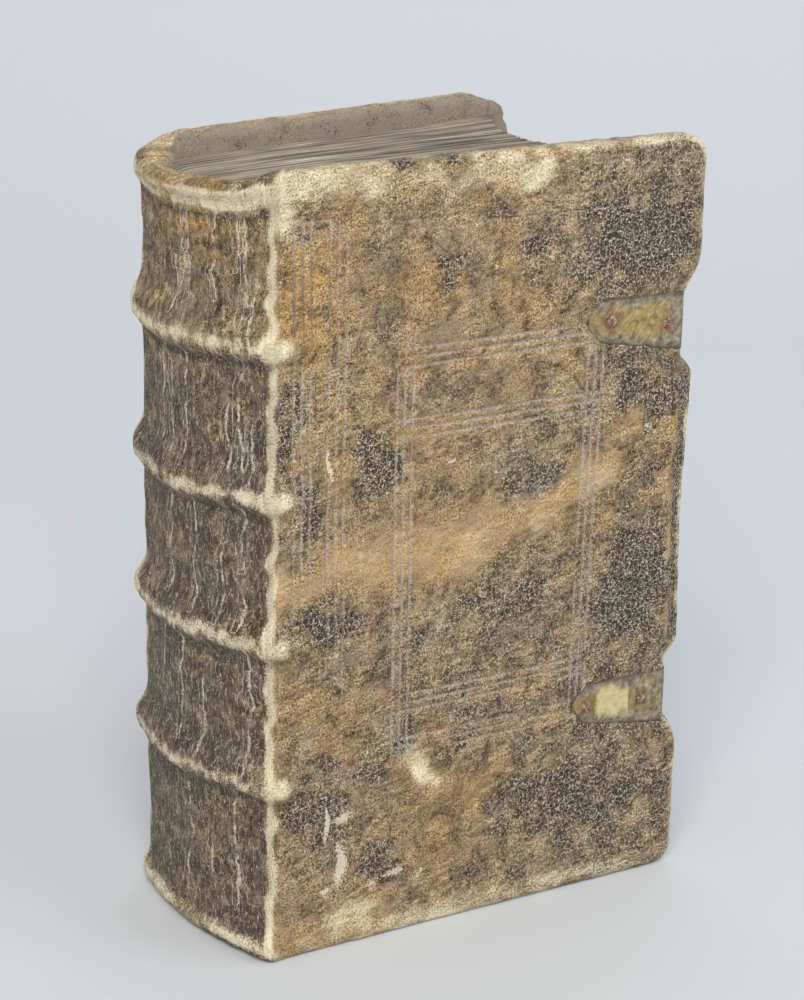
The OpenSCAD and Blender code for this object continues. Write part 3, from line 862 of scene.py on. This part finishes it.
def state_of_skin(s, z, turned):
    """The condition of the leather at each point, with painted shade in its creases and on the bevel, each
    from 0 to 1, and how far off the cracks are.
    """
    u = past_joint(s)
    front = ease(-3, 0, s)
    back = 1 - ease(-1.5, 1.5, u)
    swept = turned > 0.25
    inside = ease(0.5, 0.9, turned)
    broad, middle = lumps(s, z, 24, 61), lumps(s, z, 9, 62)
    small, fine = lumps(s, z, 3.5, 63), lumps(s, z, 1.6, 64)
    smear_off = z - np.interp(u, smear_u, smear_height) + 3 * middle
    smear = np.exp(-((smear_off / smear_half) ** 4)) * front * (0.8 + 0.3 * middle) * (1 - ease(98, 106, u))

    # Rubbed bare: bands and the knobs at their ends, the strip along the joint, caps and rims
    crest, painted_crease_shade, knob = np.zeros_like(u), np.zeros_like(u), np.zeros_like(u)
    for at in band_heights:
        up = z - at + band_drop(s)
        crest = strongest(crest, bell(up + 0.9 * lumps(s, z, 2.2, 65) + 0.6 * lumps(s, z, 5.5, 66), 2.1))
        # Painted shade under each band
        painted_crease_shade = strongest(painted_crease_shade, bell(up + 4.6, 1.5))
        knob = strongest(knob, bell(u - 1.2, 4.0) * bell(z - at, 3.0))
    crest = crest * (1 - ease(3.0, 8.0, u))
    strip_w = 1.55 + 0.6 * lumps(0 * s, z, 6, 77)
    strip = bell(u + 0.5 + 0.8 * lumps(0 * s, z, 4, 78) + 0.6 * small, strip_w)
    cap = ease(cover_h - 8.2, cover_h - 6.6, z + 0.6 * small) + ease(6.0, 3.5, z + 0.8 * small)
    cap = np.clip(cap, 0, 1) * (1 - ease(1, 6, u))
    head_rim = ease(179, 185, z + 1.5 * middle) * (1 - 0.6 * ease(70, 82, u))
    tail_rim = ease(10, 4, z + 1.5 * middle)
    fore_rim = 0.55 * ease(cover_w - 5, cover_w - 1, u)
    rim = strongest(head_rim, tail_rim, fore_rim) * ease(0, 3, u)
    cracks = np.clip(lumps(s, z * 0.07, 1.15, 67) * 1.6 - 0.75, 0, 1) * back
    cracks = cracks * (0.15 + 0.8 * bell(s + 29, 9) * ease(100, 150, z) + 0.5 * bell(u + 8, 4))
    wear = (1 - 0.45 * back) * strongest(
        0.16 + 0.12 * broad + 0.12 * middle + 0.06 * small,
        front * spots(u, z, pale_spots, 1.2) * (0.85 + 0.25 * small),
        rim * (0.52 + 0.25 * middle + 0.2 * small),
        0.47 * smear,
    )
    wear = strongest(
        wear,
        0.8 * cracks,
        crest * (0.84 + 0.25 * small + 0.25 * fine),
        strip * (1.05 + 0.3 * small),
        knob * (1.1 + 0.3 * small),
        cap * (0.85 + 0.25 * middle + 0.25 * small),
    )
    wear = np.where(swept, strongest(wear, 0.55 + 0.25 * middle + 0.2 * small), wear)
    on_cap = back * swept
    wear = wear * (1 - on_cap) + on_cap * (0.5 + 0.55 * lumps(s, z * 0.2, 6, 70) + 0.2 * small)
    wear = wear * (1 - inside) + inside * (0.1 + 0.15 * lumps(s * 0.2, z, 2.5, 69))

    # Blackened: patches of the front cover and the lower back; painted shade in the creases under the bands
    # and under the cap, and in one more creased line across the back above the bands
    painted_shade_under_cap = bell(z - cover_h + 9.4 + 0.4 * small, 1.0)
    painted_fold_shade = bell(z - 172.5 + 0.7 * middle, 0.7) * ease(-6, -10, s) * ease(-55, -50, s)
    painted_crease_shade = strongest(painted_crease_shade, painted_shade_under_cap, 0.85 * painted_fold_shade)
    dark = 0.34 + 0.05 * ease(125, 85, z) + 0.12 * ease(70, 95, u) + 0.12 * broad + 0.08 * middle
    dark = strongest(dark, front * spots(u, z, black_spots, 4.5) * (1.1 + 0.2 * small))
    dark = dark * (1 - 0.75 * np.clip(smear, 0, 1))
    dark = strongest(dark, back * (0.26 + 0.4 * ease(165, 125, z) + 0.2 * middle), back * painted_crease_shade)
    dark = dark * (1 - inside) + 0.1 * inside

    # Grey with dust, and golden where it was handled or pressed by the tools
    grey = 0.3 + 0.2 * middle + 0.3 * back * ease(175, 125, z)
    grey = grey * (1 - inside) + 0.95 * inside
    ochre = (0.3 + 0.25 * lumps(s, z, 18, 68)) * (1 - 0.5 * back)
    ochre = strongest(ochre, np.where(s > -60, 1, 0) * spots(s, z, ochre_spots), 0.5 * smear)
    ochre = ochre * (1 - inside)

    # The bevel between the catches: a golden ridge, and painted shade on the sloping bevel beyond it
    between = ease(60, 64, z) * (1 - ease(130, 134, z)) * front
    ridge = bell(u - bevel_u + 0.9 * small, 0.8) * between * (0.6 + 0.5 * middle)
    ochre = strongest(ochre, 0.8 * ridge, near_tooling(u, z, 1.7) * (0.6 + 0.25 * middle))
    wear = strongest(wear, 0.45 * ridge)
    beyond = 0.85 * ease(bevel_u + 0.4, bevel_u + 1.8, u) * between
    dark = strongest(dark * (1 - np.clip(ridge, 0, 1)), beyond)
    # Two dark chips in the head edge of the front cover
    chips = (bell(u - 33, 3.5) + bell(u - 46, 3.5)) * front * (0.8 + 0.5 * fine)
    chips = chips * swept * (turned < 0.75) * (z > 150)
    dark = strongest(dark, chips)
    wear = wear * (1 - 0.8 * np.clip(chips, 0, 1))
    return dict(
        wear=np.clip(wear, 0, 1), dark=np.clip(dark, 0, 1), ochre=np.clip(ochre, 0, 1),
        grey=np.clip(grey, 0, 1), line=np.clip(tooling(s, z), 0, 1) * ~swept, back=back,
        flake=front * spots(u, z, flake_spots, 1.1), crack_mm=off_cracks(s, z),
    )


def worn_calf():
    """Worn calf: golden brown and finely wrinkled, blackened in patches that break up into flecks, with pale
    dust in the wrinkles, bare buff along edges, bands and joint, and grey dust in the tooled lines. Its shine
    is low and dull. The blackening also carries painted shade under the bands and the head cap, in creases
    across the back and on the bevel of the front cover."""
    material, t = new_material("worn_calf")
    place = add(t, "Attribute", {}, out=1, attribute_name="skin_mm")
    field = {
        name: add(t, "Attribute", {}, out=2, attribute_name=name)
        for name in ("wear", "dark", "ochre", "grey", "line", "flake", "back", "crack_mm")
    }

    # Faint streaks 4 mm long and 1.4 mm wide, rising to the fore-edge, on the covers; blotches of 2 to 3 mm
    # on the back
    aslant = add(t, "VectorRotate", {"Vector": place, "Angle": -0.3}, rotation_type="Z_AXIS")
    aslant = add(t, "VectorMath", {0: aslant, 1: (0.25, 0.7, 0.0)}, operation="MULTIPLY")
    blotch = add(t, "VectorMath", {0: place, 1: (0.5, 0.34, 0.0)}, operation="MULTIPLY")
    lie = add(t, "Mix", {0: field["back"], 4: aslant, 5: blotch}, out=1, data_type="VECTOR")
    streak = add(t, "TexNoise", {
        "Vector": lie, "Scale": 1.0, "Detail": 3.0, "Roughness": 0.7, "Distortion": 0.5},
        noise_dimensions="2D")
    # Grain of 0.5 mm, and clouds of 6 mm with ragged outlines
    grain = add(t, "TexNoise", {
        "Vector": place, "Scale": 1.9, "Detail": 2.0, "Roughness": 0.75}, noise_dimensions="2D")
    cloud = add(t, "TexNoise", {
        "Vector": place, "Scale": 0.15, "Detail": 6.0, "Roughness": 0.76, "Distortion": 0.4},
        noise_dimensions="2D")
    # Haze in bands of 13 by 5 mm that lie with the streaks
    haze = add(t, "TexNoise", {
        "Vector": aslant, "Scale": 0.3, "Detail": 5.0, "Roughness": 0.65}, noise_dimensions="2D")
    # A pale crackle round islands of 1.4 mm and wrinkles that wander between them, long and few on the back
    tall = add(t, "VectorMath", {0: place, 1: (0.85, 0.26, 0.0)}, operation="MULTIPLY")
    wander = add(t, "Mix", {0: field["back"], 4: place, 5: tall}, out=1, data_type="VECTOR")
    bend = add(t, "TexNoise", {"Vector": wander, "Scale": 0.9, "Detail": 2.0}, out=1, noise_dimensions="2D")
    bent = add(t, "VectorMath", {0: bend, 1: (2.0, 2.0, 0.0), 2: wander}, operation="MULTIPLY_ADD")
    net = add(t, "TexVoronoi", {"Vector": bent, "Scale": 0.72},
              feature="DISTANCE_TO_EDGE", voronoi_dimensions="2D")
    widest = add(t, "MapRange", {0: field["back"], 3: 0.15, 4: 0.09})
    wide = add(t, "MapRange", {0: grain, 1: 0.36, 2: 0.64, 3: 0.0, 4: widest})
    half = add(t, "Math", {0: wide, 1: 0.55}, operation="MULTIPLY")
    net = add(t, "MapRange", {0: net, 1: half, 2: wide, 3: 1.0, 4: 0.0})
    wrinkle = add(t, "TexNoise", {
        "Vector": wander, "Scale": 0.7, "Detail": 2.5, "Roughness": 0.62, "Distortion": 0.7},
        noise_dimensions="2D")
    wrinkle = add(t, "Math", {0: wrinkle, 1: 0.5, 2: 0.014}, operation="COMPARE")
    crackle = add(t, "Math", {0: net, 1: wrinkle}, operation="MAXIMUM")

    # The brown: strong grain where it has darkened, smooth where it was handled
    drawn = add(t, "MapRange", {0: field["back"], 3: 0.8, 4: 1.2})
    tone = add(t, "Math", {0: streak, 1: -0.5}, operation="ADD")
    tone = add(t, "Math", {0: tone, 1: drawn, 2: -0.85}, operation="MULTIPLY_ADD")
    tone = add(t, "Math", {0: grain, 1: 1.9, 2: tone}, operation="MULTIPLY_ADD")
    tone = add(t, "Math", {0: cloud, 1: -0.2, 2: tone}, operation="MULTIPLY_ADD")
    rough = add(t, "Math", {0: haze, 1: 0.8, 2: field["dark"]}, operation="MULTIPLY_ADD")
    rough = add(t, "MapRange", {0: rough, 1: 0.5, 2: 0.95, 3: 0.4, 4: 1.2})
    paler = add(t, "Math", {0: field["wear"], 1: 0.24, 2: 0.46}, operation="MULTIPLY_ADD")
    tone = add(t, "Math", {0: tone, 1: rough, 2: paler}, operation="MULTIPLY_ADD")
    brown = add(t, "ValToRGB", {0: tone}, stops=[
        (0.05, "#251a11"), (0.3, "#664f36"), (0.5, "#9b7e5b"), (0.7, "#bfa47c"), (0.95, "#e2d2b2")])
    golden = add(t, "ValToRGB", {0: tone}, stops=[
        (0.05, "#3f280d"), (0.3, "#886129"), (0.5, "#b78e47"), (0.7, "#d0ad68"), (0.95, "#e9d6a8")])
    gold = add(t, "Math", {0: haze, 1: 1.3, 2: field["ochre"]}, operation="MULTIPLY_ADD")
    gold = add(t, "MapRange", {0: gold, 1: 0.75, 2: 1.65}, interpolation_type="SMOOTHSTEP")
    skin = add(t, "Mix", {0: gold, 6: brown, 7: golden}, out=2, data_type="RGBA")
    # Grey bloom
    bloom = add(t, "Math", {0: haze, 1: -1.2, 2: field["grey"]}, operation="MULTIPLY_ADD")
    bloom = add(t, "Math", {0: grain, 1: 1.3, 2: bloom}, operation="MULTIPLY_ADD")
    bloom = add(t, "MapRange", {0: bloom, 1: 0.25, 2: 1.1, 4: 0.8}, interpolation_type="SMOOTHSTEP")
    skin = add(t, "Mix", {0: bloom, 6: skin, 7: linear("#8d857a")}, out=2, data_type="RGBA")
    # Blackened patches that break up into flecks at their edges, with dust in their wrinkles; the same mix
    # lays painted shade in the creases of the back and on the bevel
    black = add(t, "Math", {0: cloud, 1: 2.3, 2: field["dark"]}, operation="MULTIPLY_ADD")
    black = add(t, "Math", {0: grain, 1: 2.3, 2: black}, operation="MULTIPLY_ADD")
    most = add(t, "MapRange", {0: field["back"], 3: 0.97, 4: 0.78})
    black = add(t, "MapRange", {0: black, 1: 2.73, 2: 2.98, 4: most}, interpolation_type="SMOOTHSTEP")
    black_and_painted_shade = add(t, "ValToRGB", {0: grain}, stops=[
        (0.3, "#54473a"), (0.42, "#312b26"), (0.52, "#1f1d1b"), (0.66, "#151413")])
    skin = add(t, "Mix", {0: black, 6: skin, 7: black_and_painted_shade}, out=2, data_type="RGBA")
    # Dust in the crackle, least where the leather is smooth
    dusty = add(t, "ValToRGB", {0: tone}, stops=[(0.2, "#86775d"), (0.5, "#b9ab90"), (0.85, "#e6dcc7")])
    fullest = add(t, "MapRange", {0: field["back"], 3: 0.82, 4: 0.62})
    open_net = add(t, "MapRange", {0: rough, 1: 0.4, 2: 1.2, 3: 0.1, 4: fullest})
    crackle = add(t, "Math", {0: crackle, 1: open_net}, operation="MULTIPLY")
    skin = add(t, "Mix", {0: crackle, 6: skin, 7: dusty}, out=2, data_type="RGBA")

    # Rubbed through to buff where wear is heavy
    rub = add(t, "Math", {0: cloud, 1: 0.9, 2: field["wear"]}, operation="MULTIPLY_ADD")
    rub = add(t, "Math", {0: grain, 1: 0.7, 2: rub}, operation="MULTIPLY_ADD")
    rub = add(t, "Math", {0: streak, 1: 0.5, 2: rub}, operation="MULTIPLY_ADD")
    rub = add(t, "MapRange", {0: rub, 1: 1.36, 2: 1.96, 4: 0.95}, interpolation_type="SMOOTHSTEP")
    chalk = add(t, "Math", {0: tone, 1: 0.65, 2: 0.09}, operation="MULTIPLY_ADD")
    chalk = add(t, "Math", {0: field["wear"], 1: 0.34, 2: chalk}, operation="MULTIPLY_ADD")
    bare = add(t, "ValToRGB", {0: chalk}, stops=[
        (0.3, "#88785b"), (0.52, "#bfae8b"), (0.75, "#ddcfac"), (1.0, "#f8eed2")])
    skin = add(t, "Mix", {0: rub, 6: skin, 7: bare}, out=2, data_type="RGBA")
    # Upright cracks in the back, pale, broken and about 0.3 mm wide
    one = add(t, "Math", {0: grain, 1: 2.4, 2: field["crack_mm"]}, operation="MULTIPLY_ADD")
    two = add(t, "Math", {0: cloud, 1: 5.0, 2: field["crack_mm"]}, operation="MULTIPLY_ADD")
    one = add(t, "Math", {0: one, 1: 1.2, 2: 0.17}, operation="COMPARE")
    two = add(t, "Math", {0: two, 1: 2.6, 2: 0.15}, operation="COMPARE")
    vein = add(t, "Math", {0: one, 1: two}, operation="MAXIMUM")
    broken = add(t, "MapRange", {0: haze, 1: 0.41, 2: 0.52, 3: 0.15, 4: 1.0})
    vein = add(t, "Math", {0: vein, 1: broken}, operation="MULTIPLY")
    skin = add(t, "Mix", {0: vein, 6: skin, 7: linear("#e4dac4")}, out=2, data_type="RGBA")
    # Grey dust in the tooled lines, soot in those of the golden strip
    lined = add(t, "Math", {0: grain, 1: 0.9, 2: field["line"]}, operation="MULTIPLY_ADD")
    lined = add(t, "MapRange", {0: lined, 1: 0.72, 2: 1.15, 4: 0.92}, interpolation_type="SMOOTHSTEP")
    dust = add(t, "ValToRGB", {0: tone}, stops=[(0.2, "#786e65"), (0.5, "#a0958a"), (0.8, "#c3b9aa")])
    soot = add(t, "MapRange", {0: field["ochre"], 1: 0.75, 2: 1.0, 4: 0.75})
    dust = add(t, "Mix", {0: soot, 6: dust, 7: linear("#655a53")}, out=2, data_type="RGBA")
    skin = add(t, "Mix", {0: lined, 6: skin, 7: dust}, out=2, data_type="RGBA")
    # Flakes lost down to the pale flesh side
    chip = add(t, "Math", {0: grain, 1: 1.9, 2: field["flake"]}, operation="MULTIPLY_ADD")
    chip = add(t, "MapRange", {0: chip, 1: 1.48, 2: 1.6})
    skin = add(t, "Mix", {0: chip, 6: skin, 7: linear("#d9cdb6")}, out=2, data_type="RGBA")

    shine = add(t, "MapRange", {0: rub, 3: 0.6, 4: 0.92})
    height = add(t, "Math", {0: crackle, 1: -0.4, 2: tone}, operation="MULTIPLY_ADD")
    bump = add(t, "Bump", {"Height": height, "Strength": 0.8, "Distance": 0.0003})
    shader = add(t, "BsdfPrincipled", {
        "Base Color": skin, "Roughness": shine, "Specular IOR Level": 0.3, "Normal": bump})
    add(t, "OutputMaterial", {"Surface": shader})
    return material


front_leather = skin_over("front_cover_skin", cover_columns, "front")
back_leather = skin_over("back_cover_skin", cover_columns, "back")
spine_leather = skin_over("back_skin", spine_columns, "spine")
calf = worn_calf()
skins = [
    (front_leather, "front_cover_leather"),
    (back_leather, "back_cover_leather"),
    (spine_leather, "spine_leather"),
]
for piece, node in skins:
    piece.data.materials.append(calf)
    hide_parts(node)
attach(spine_leather, "book_block")
# The leather is rounded over about 3 mm either side of each joint; the two cover pieces have their placement
# baked into their points
for piece, cover, way in ((front_leather, "front_cover", 1), (back_leather, "back_cover", -1)):
    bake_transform(piece)


# The endband at the head. The same cord core wound with linen thread as at the tail; it has slumped with
# its cap, so it runs along the head of the leather.
core_r = 1.25
core_inset = 1.2


def head_endband():
    """A round cord along the slumped cap, just under its leather."""
    stations, sides = 60, 12
    along = np.linspace(-spine_arc + core_inset, -core_inset, stations)
    at, way = plan(along)
    middle = at + way * (cap_rise - head_roll)
    points, faces = [], []
    for k in range(stations):
        for c in range(sides):
            a = 2 * math.pi * c / sides
            x, y = middle[k] + way[k] * core_r * math.cos(a)
            points.append((x, y, head_line(along[k]) - head_roll + core_r * math.sin(a)))
    for k in range(stations - 1):
        for c in range(sides):
            p, q = k * sides + c, k * sides + (c + 1) % sides
            faces.append((p, q, q + sides, p + sides))
    faces.append(tuple(range(sides)))
    faces.append(tuple(reversed(range((stations - 1) * sides, stations * sides))))
    return make_piece("head_endband_cord", points, faces)


endband = head_endband()
endband.data.materials.append(thread)
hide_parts("head_endband")
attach(endband, "book_block")


# The catch plates. Two tongues of brass sheet let into the leather and turned down over the fore-edge of
# the front board, each held by two rivets. They are dented, scratched and tarnished.
plate_lip = 3.5
lip_stand = 0.25
sheet_t = 0.5
plate_rivets = {
    "upper_catch_plate": [(90.4, 147.2, 1.8), (106.6, 144.9, 1.35)],
    "lower_catch_plate": [(88.0, 49.0, 1.7), (104.4, 48.0, 1.5)],
}
# The lower plate is dented up in a ridge across it, here along it and aslant, and creased beyond
ridge_run = 100
ridge_z = 48
ridge_lean = 0.04
crease_turn = 2.6


def plate_path():
    """Places along a plate and down over the fore-edge: along the cover, into it, and along the sheet."""
    bend_u = plate_end_u - cover_edge
    path = [(u, 0.0, u) for u in np.linspace(plate_tip_u, bend_u, 80)]
    for turn in (15, 30, 45, 60, 75, 90):
        a = math.radians(turn)
        u = bend_u + (cover_edge + lip_stand) * math.sin(a)
        path.append((u, cover_edge * (1 - math.cos(a)), bend_u + cover_edge * a))
    run = bend_u + cover_edge * math.pi / 2 + plate_lip - cover_edge
    path.append((bend_u + cover_edge + lip_stand, plate_lip, run))
    return path


def catch_plate(node, seed):
    """A plate as a bent sheet; its stains, grey rims, painted shadow along its border and bright middle are
    kept as fields.
    """
    tip_z, lean = plate_beds[node]
    lower = node == "lower_catch_plate"
    across = np.concatenate([[-1, -1, -0.97, -0.9], np.arange(-5, 6) * 0.15, [0.9, 0.97, 1, 1]])
    points, places = [], []
    for u, fall, run in plate_path():
        half = float(plate_half(u))
        upright = math.cos(min(fall, cover_edge) / cover_edge * math.pi / 2)
        for k, c in enumerate(across):
            z = tip_z + lean * (u - plate_tip_u) + c * (half + 0.25 * float(lumps(run, c * 9, 2.5, seed)))
            raised = 0.2 + 0.12 * float(lumps(run, z, 5, seed + 1)) - 0.16 * abs(c) ** 4
            raised += 0.05 * float(lumps(run, z, 1.6, seed + 2))
            past = run - ridge_run
            if lower:
                raised += 0.28 * float(bell(past + ridge_lean * (z - ridge_z), 0.4))
                raised -= 0.1 * max(0.0, math.sin(past * crease_turn)) * (past > 1)
            if k in (0, len(across) - 1):
                raised = -sheet_t
            x, y = on_cover(u, fall - raised * upright)
            points.append((x, y, z))
            places.append((run, z, 0))
    faces = grid_faces(np.arange(len(points)).reshape(-1, len(across)), False)
    faces.append(tuple(reversed(range(len(across)))))
    run, height, _ = np.array(places).T
    stain = np.zeros_like(run)
    for u, z, r in plate_rivets[node]:
        stain = np.maximum(stain, bell(np.hypot(run - u, height - z), r * 1.7))
    off = np.abs(height - tip_z - lean * (run - plate_tip_u)) / plate_half(run)
    # Painted shadow along the plate's border and round its tip, where it sits in its bed
    edge = np.maximum(ease(0.86, 0.96, off), ease(1.2, 0.4, run - plate_tip_u))
    rim = ease(0.42, 0.85, off + 0.2 * lumps(run, height, 3, seed + 3))
    rim = np.maximum(rim, 0.9 * ease(105, 110, run))
    bright = np.zeros_like(run)
    if lower:
        past = run - ridge_run
        bright = ease(89, 92, run) * (1 - ease(-0.4, 0.4, past)) * (1 - rim)
        bright = np.maximum(bright, 1.3 * bell(past + ridge_lean * (height - ridge_z), 0.5))
        rim = np.maximum(rim, 0.75 * ease(0.6, 1.4, past) * (0.6 + 0.6 * np.sin(past * crease_turn)))
    fields = dict(plate_mm=places, stain=stain, rim=rim, edge=edge, bright=bright)
    return make_piece(node.replace("_catch", ""), points, faces, **fields)


def tarnished_brass():
    """Tarnished brass: a dull olive yellow, grey-brown towards the rims, reddish round the rivets, with
    fine bright scratches."""
    material, t = new_material("tarnished_brass")
    place = add(t, "Attribute", {}, out=1, attribute_name="plate_mm")
    stain = add(t, "Attribute", {}, out=2, attribute_name="stain")
    rim = add(t, "Attribute", {}, out=2, attribute_name="rim")
    # Tarnish in clouds of 2 mm
    cloud = add(t, "TexNoise", {"Vector": place, "Scale": 0.55, "Detail": 6.0, "Roughness": 0.72})
    # Scratches 0.3 mm wide, aslant
    turned_place = add(t, "VectorRotate", {"Vector": place, "Angle": -0.8}, rotation_type="Z_AXIS")
    thin = add(t, "VectorMath", {0: turned_place, 1: (0.12, 3.2, 1.0)}, operation="MULTIPLY")
    scratch = add(t, "TexNoise", {"Vector": thin, "Scale": 1.0, "Detail": 2.0})
    scratch = add(t, "MapRange", {0: scratch, 1: 0.6, 2: 0.72})
    bright = add(t, "Attribute", {}, out=2, attribute_name="bright")
    shade = add(t, "ValToRGB", {0: cloud}, stops=[
        (0.3, "#655538"), (0.43, "#8a7549"), (0.57, "#aa9562"), (0.72, "#cbb987")])
    clean = add(t, "Math", {0: cloud, 1: 1.6, 2: bright}, operation="MULTIPLY_ADD")
    clean = add(t, "MapRange", {0: clean, 1: 1.0, 2: 1.9, 4: 0.9})
    shade = add(t, "Mix", {0: clean, 6: shade, 7: linear("#d3c495")}, out=2, data_type="RGBA")
    grey = add(t, "MapRange", {0: rim, 4: 0.85})
    crust = add(t, "ValToRGB", {0: cloud}, stops=[
        (0.33, "#403b35"), (0.47, "#6f695e"), (0.6, "#98917f"), (0.72, "#c2baa2")])
    shade = add(t, "Mix", {0: grey, 6: shade, 7: crust}, out=2, data_type="RGBA")
    # Painted shadow along the border of the plate
    edge = add(t, "Attribute", {}, out=2, attribute_name="edge")
    edge = add(t, "Math", {0: edge, 1: 0.8}, operation="MULTIPLY")
    shade = add(t, "Mix", {0: edge, 6: shade, 7: linear("#4a4136")}, out=2, data_type="RGBA")
    red = add(t, "MapRange", {0: stain, 1: 0.15, 2: 0.9, 4: 0.9})
    shade = add(t, "Mix", {0: red, 6: shade, 7: linear("#6b4a35")}, out=2, data_type="RGBA")
    scored = add(t, "Math", {0: scratch, 1: 0.6}, operation="MULTIPLY")
    shade = add(t, "Mix", {0: scored, 6: shade, 7: linear("#d8cda6")}, out=2, data_type="RGBA")
    rough = add(t, "MapRange", {0: cloud, 1: 0.3, 2: 0.7, 3: 0.62, 4: 0.42})
    bump = add(t, "Bump", {"Height": scratch, "Strength": 0.4, "Distance": 0.0001})
    shader = add(t, "BsdfPrincipled", {
        "Base Color": shade, "Metallic": 0.35, "Roughness": rough, "Normal": bump})
    add(t, "OutputMaterial", {"Surface": shader})
    return material


brass = tarnished_brass()
for node, seed in (("upper_catch_plate", 81), ("lower_catch_plate", 91)):
    plate = catch_plate(node, seed)
    plate.data.materials.append(brass)
    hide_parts(node)
    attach(plate, "front_cover")


# The rivets. Four iron rivets driven through plate, leather and board, two to a plate. Their heads were
# hammered low and have rusted.
rivet_rise = 0.75


def rivet_heads():
    """The four heads in one mesh: low domes, dented and a little out of round."""
    points, faces = [], []
    around, rings = 20, 7
    for u, z, r in plate_rivets["upper_catch_plate"] + plate_rivets["lower_catch_plate"]:
        base = len(points)
        for ring in range(rings):
            tilt = math.radians(90 * ring / (rings - 1))
            for k in range(around):
                a = 2 * math.pi * k / around
                c, d = math.cos(a), math.sin(a)
                wide = r * math.cos(tilt) * (1 + 0.07 * float(lumps(u * 9 + 3 * c, 3 * d, 2.2, 95)))
                dent = 0.08 * float(lumps(wide * c, wide * d + u, 0.8, 96))
                rise = 0.1 + rivet_rise * math.sin(tilt) - dent if ring else -0.1
                x, y = on_cover(u + wide * c, -rise)
                points.append((x, y, z + wide * d))
        for ring in range(rings - 1):
            for k in range(around):
                p, q = base + ring * around + k, base + ring * around + (k + 1) % around
                faces.append((p, q, q + around, p + around))
        faces.append(tuple(base + (rings - 1) * around + k for k in range(around)))
    return make_piece("rivet_heads", points, faces)


def rusty_iron():
    """Rusty iron: a matt red-brown crust with grey bare metal where it is rubbed."""
    material, t = new_material("rusty_iron")
    place = add(t, "TexCoord", {}, out=3)
    # Crust in grains of 0.6 mm
    crust = add(t, "TexNoise", {"Vector": place, "Scale": 1600.0, "Detail": 3.0, "Roughness": 0.6})
    shade = add(t, "ValToRGB", {0: crust}, stops=[
        (0.3, "#3f2a20"), (0.45, "#6e4a38"), (0.58, "#8f7768"), (0.7, "#c0b6aa")])
    bare = add(t, "MapRange", {0: crust, 1: 0.55, 2: 0.7, 4: 0.7})
    rough = add(t, "MapRange", {0: bare, 3: 0.85, 4: 0.45})
    bump = add(t, "Bump", {"Height": crust, "Strength": 0.5, "Distance": 0.0002})
    shader = add(t, "BsdfPrincipled", {
        "Base Color": shade, "Metallic": bare, "Roughness": rough, "Normal": bump})
    add(t, "OutputMaterial", {"Surface": shader})
    return material


rivets = rivet_heads()
rivets.data.materials.append(rusty_iron())
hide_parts("catch_rivets")
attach(rivets, "front_cover")


# The studio. A pale paper sweep, a broad soft key light beside the camera, a weaker fill, a light on the
# paper behind and an even pale surround. The camera stands where the photograph was taken from.
lens_px = 2636.8
frame_h_px = 1000
sensor_mm = 36
camera_from_joint = (-307.58, -496.82, 302.43)
turn, pitch, roll = math.radians(36.25), math.radians(18.34), math.radians(1.09)
ahead = np.array([math.sin(turn), math.cos(turn)])
side = np.array([math.cos(turn), -math.sin(turn)])


def paper_sweep():
    """Floor and wall in one, joined by a quarter round behind the book."""
    near_end, flat_end, bend_r, wall, half_w, steps = -2500, 520, 900, 1500, 4000, 16
    profile = [(near_end, 0), (0, 0)]
    for k in range(steps + 1):
        a = math.radians(k * 90 / steps)
        profile.append((flat_end + bend_r * math.sin(a), bend_r * (1 - math.cos(a))))
    profile.append((flat_end + bend_r, wall))
    points, faces = [], []
    for along, z in profile:
        for across in (-half_w, half_w):
            x, y = ahead * along + side * across
            points.append((x - hinge_x, y, z))
    for k in range(len(profile) - 1):
        faces.append((2 * k, 2 * k + 1, 2 * k + 3, 2 * k + 2))
    return make_piece("paper_sweep", points, faces)


def backdrop_paper():
    """Seamless backdrop paper: smooth, matt and a cool pale grey."""
    material, t = new_material("backdrop_paper")
    shader = add(t, "BsdfPrincipled", {
        "Base Color": linear("#ced2d6"), "Roughness": 1.0, "Specular IOR Level": 0.0})
    add(t, "OutputMaterial", {"Surface": shader})
    return material


sweep_piece = paper_sweep()
sweep_piece.data.materials.append(backdrop_paper())

camera_data = bpy.data.cameras.new("camera")
camera = bpy.data.objects.new("camera", camera_data)
bpy.context.scene.collection.objects.link(camera)
camera_data.sensor_fit = "VERTICAL"
camera_data.sensor_height = sensor_mm
camera_data.lens = sensor_mm * lens_px / frame_h_px
look = Vector((ahead[0] * math.cos(pitch), ahead[1] * math.cos(pitch), -math.sin(pitch)))
right = Vector((side[0], side[1], 0))
facing = Matrix((right, right.cross(look), -look)).transposed()
stand_at = (Vector((hinge_x, 0, 0)) + Vector(camera_from_joint)) * MM
camera.matrix_world = Matrix.Translation(stand_at) @ (facing @ Matrix.Rotation(roll, 3, "Z")).to_4x4()
bpy.context.scene.camera = camera
bpy.context.scene.view_settings.view_transform = "Standard"


def soft_light(name, at, to, size, watts, colour):
    """A square area light, in metres, that faces a place."""
    data = bpy.data.lights.new(name, "AREA")
    data.size = size
    data.energy = watts
    data.color = linear(colour)[:3]
    lamp = bpy.data.objects.new(name, data)
    lamp.location = at
    lamp.rotation_euler = (Vector(to) - Vector(at)).to_track_quat("-Z", "Y").to_euler()
    bpy.context.scene.collection.objects.link(lamp)


book = (0, 0, 0.1)
on_paper = ahead * 1.35
soft_light("key", (-0.9, -1.1, 1.3), book, 0.9, 27, "#fffaf2")
soft_light("fill", (0.9, -1.2, 0.8), book, 1.0, 9, "#f4f8ff")
soft_light("backdrop", (*ahead, 1.3), (*on_paper, 0.2), 1.2, 5, "#f4f8ff")

world = bpy.data.worlds.new("studio")
bpy.context.scene.world = world
world.use_nodes = True
world.node_tree.nodes.clear()
glow = add(world.node_tree, "Background", {"Color": linear("#f1f3f6"), "Strength": 0.5})
add(world.node_tree, "OutputWorld", {"Surface": glow})
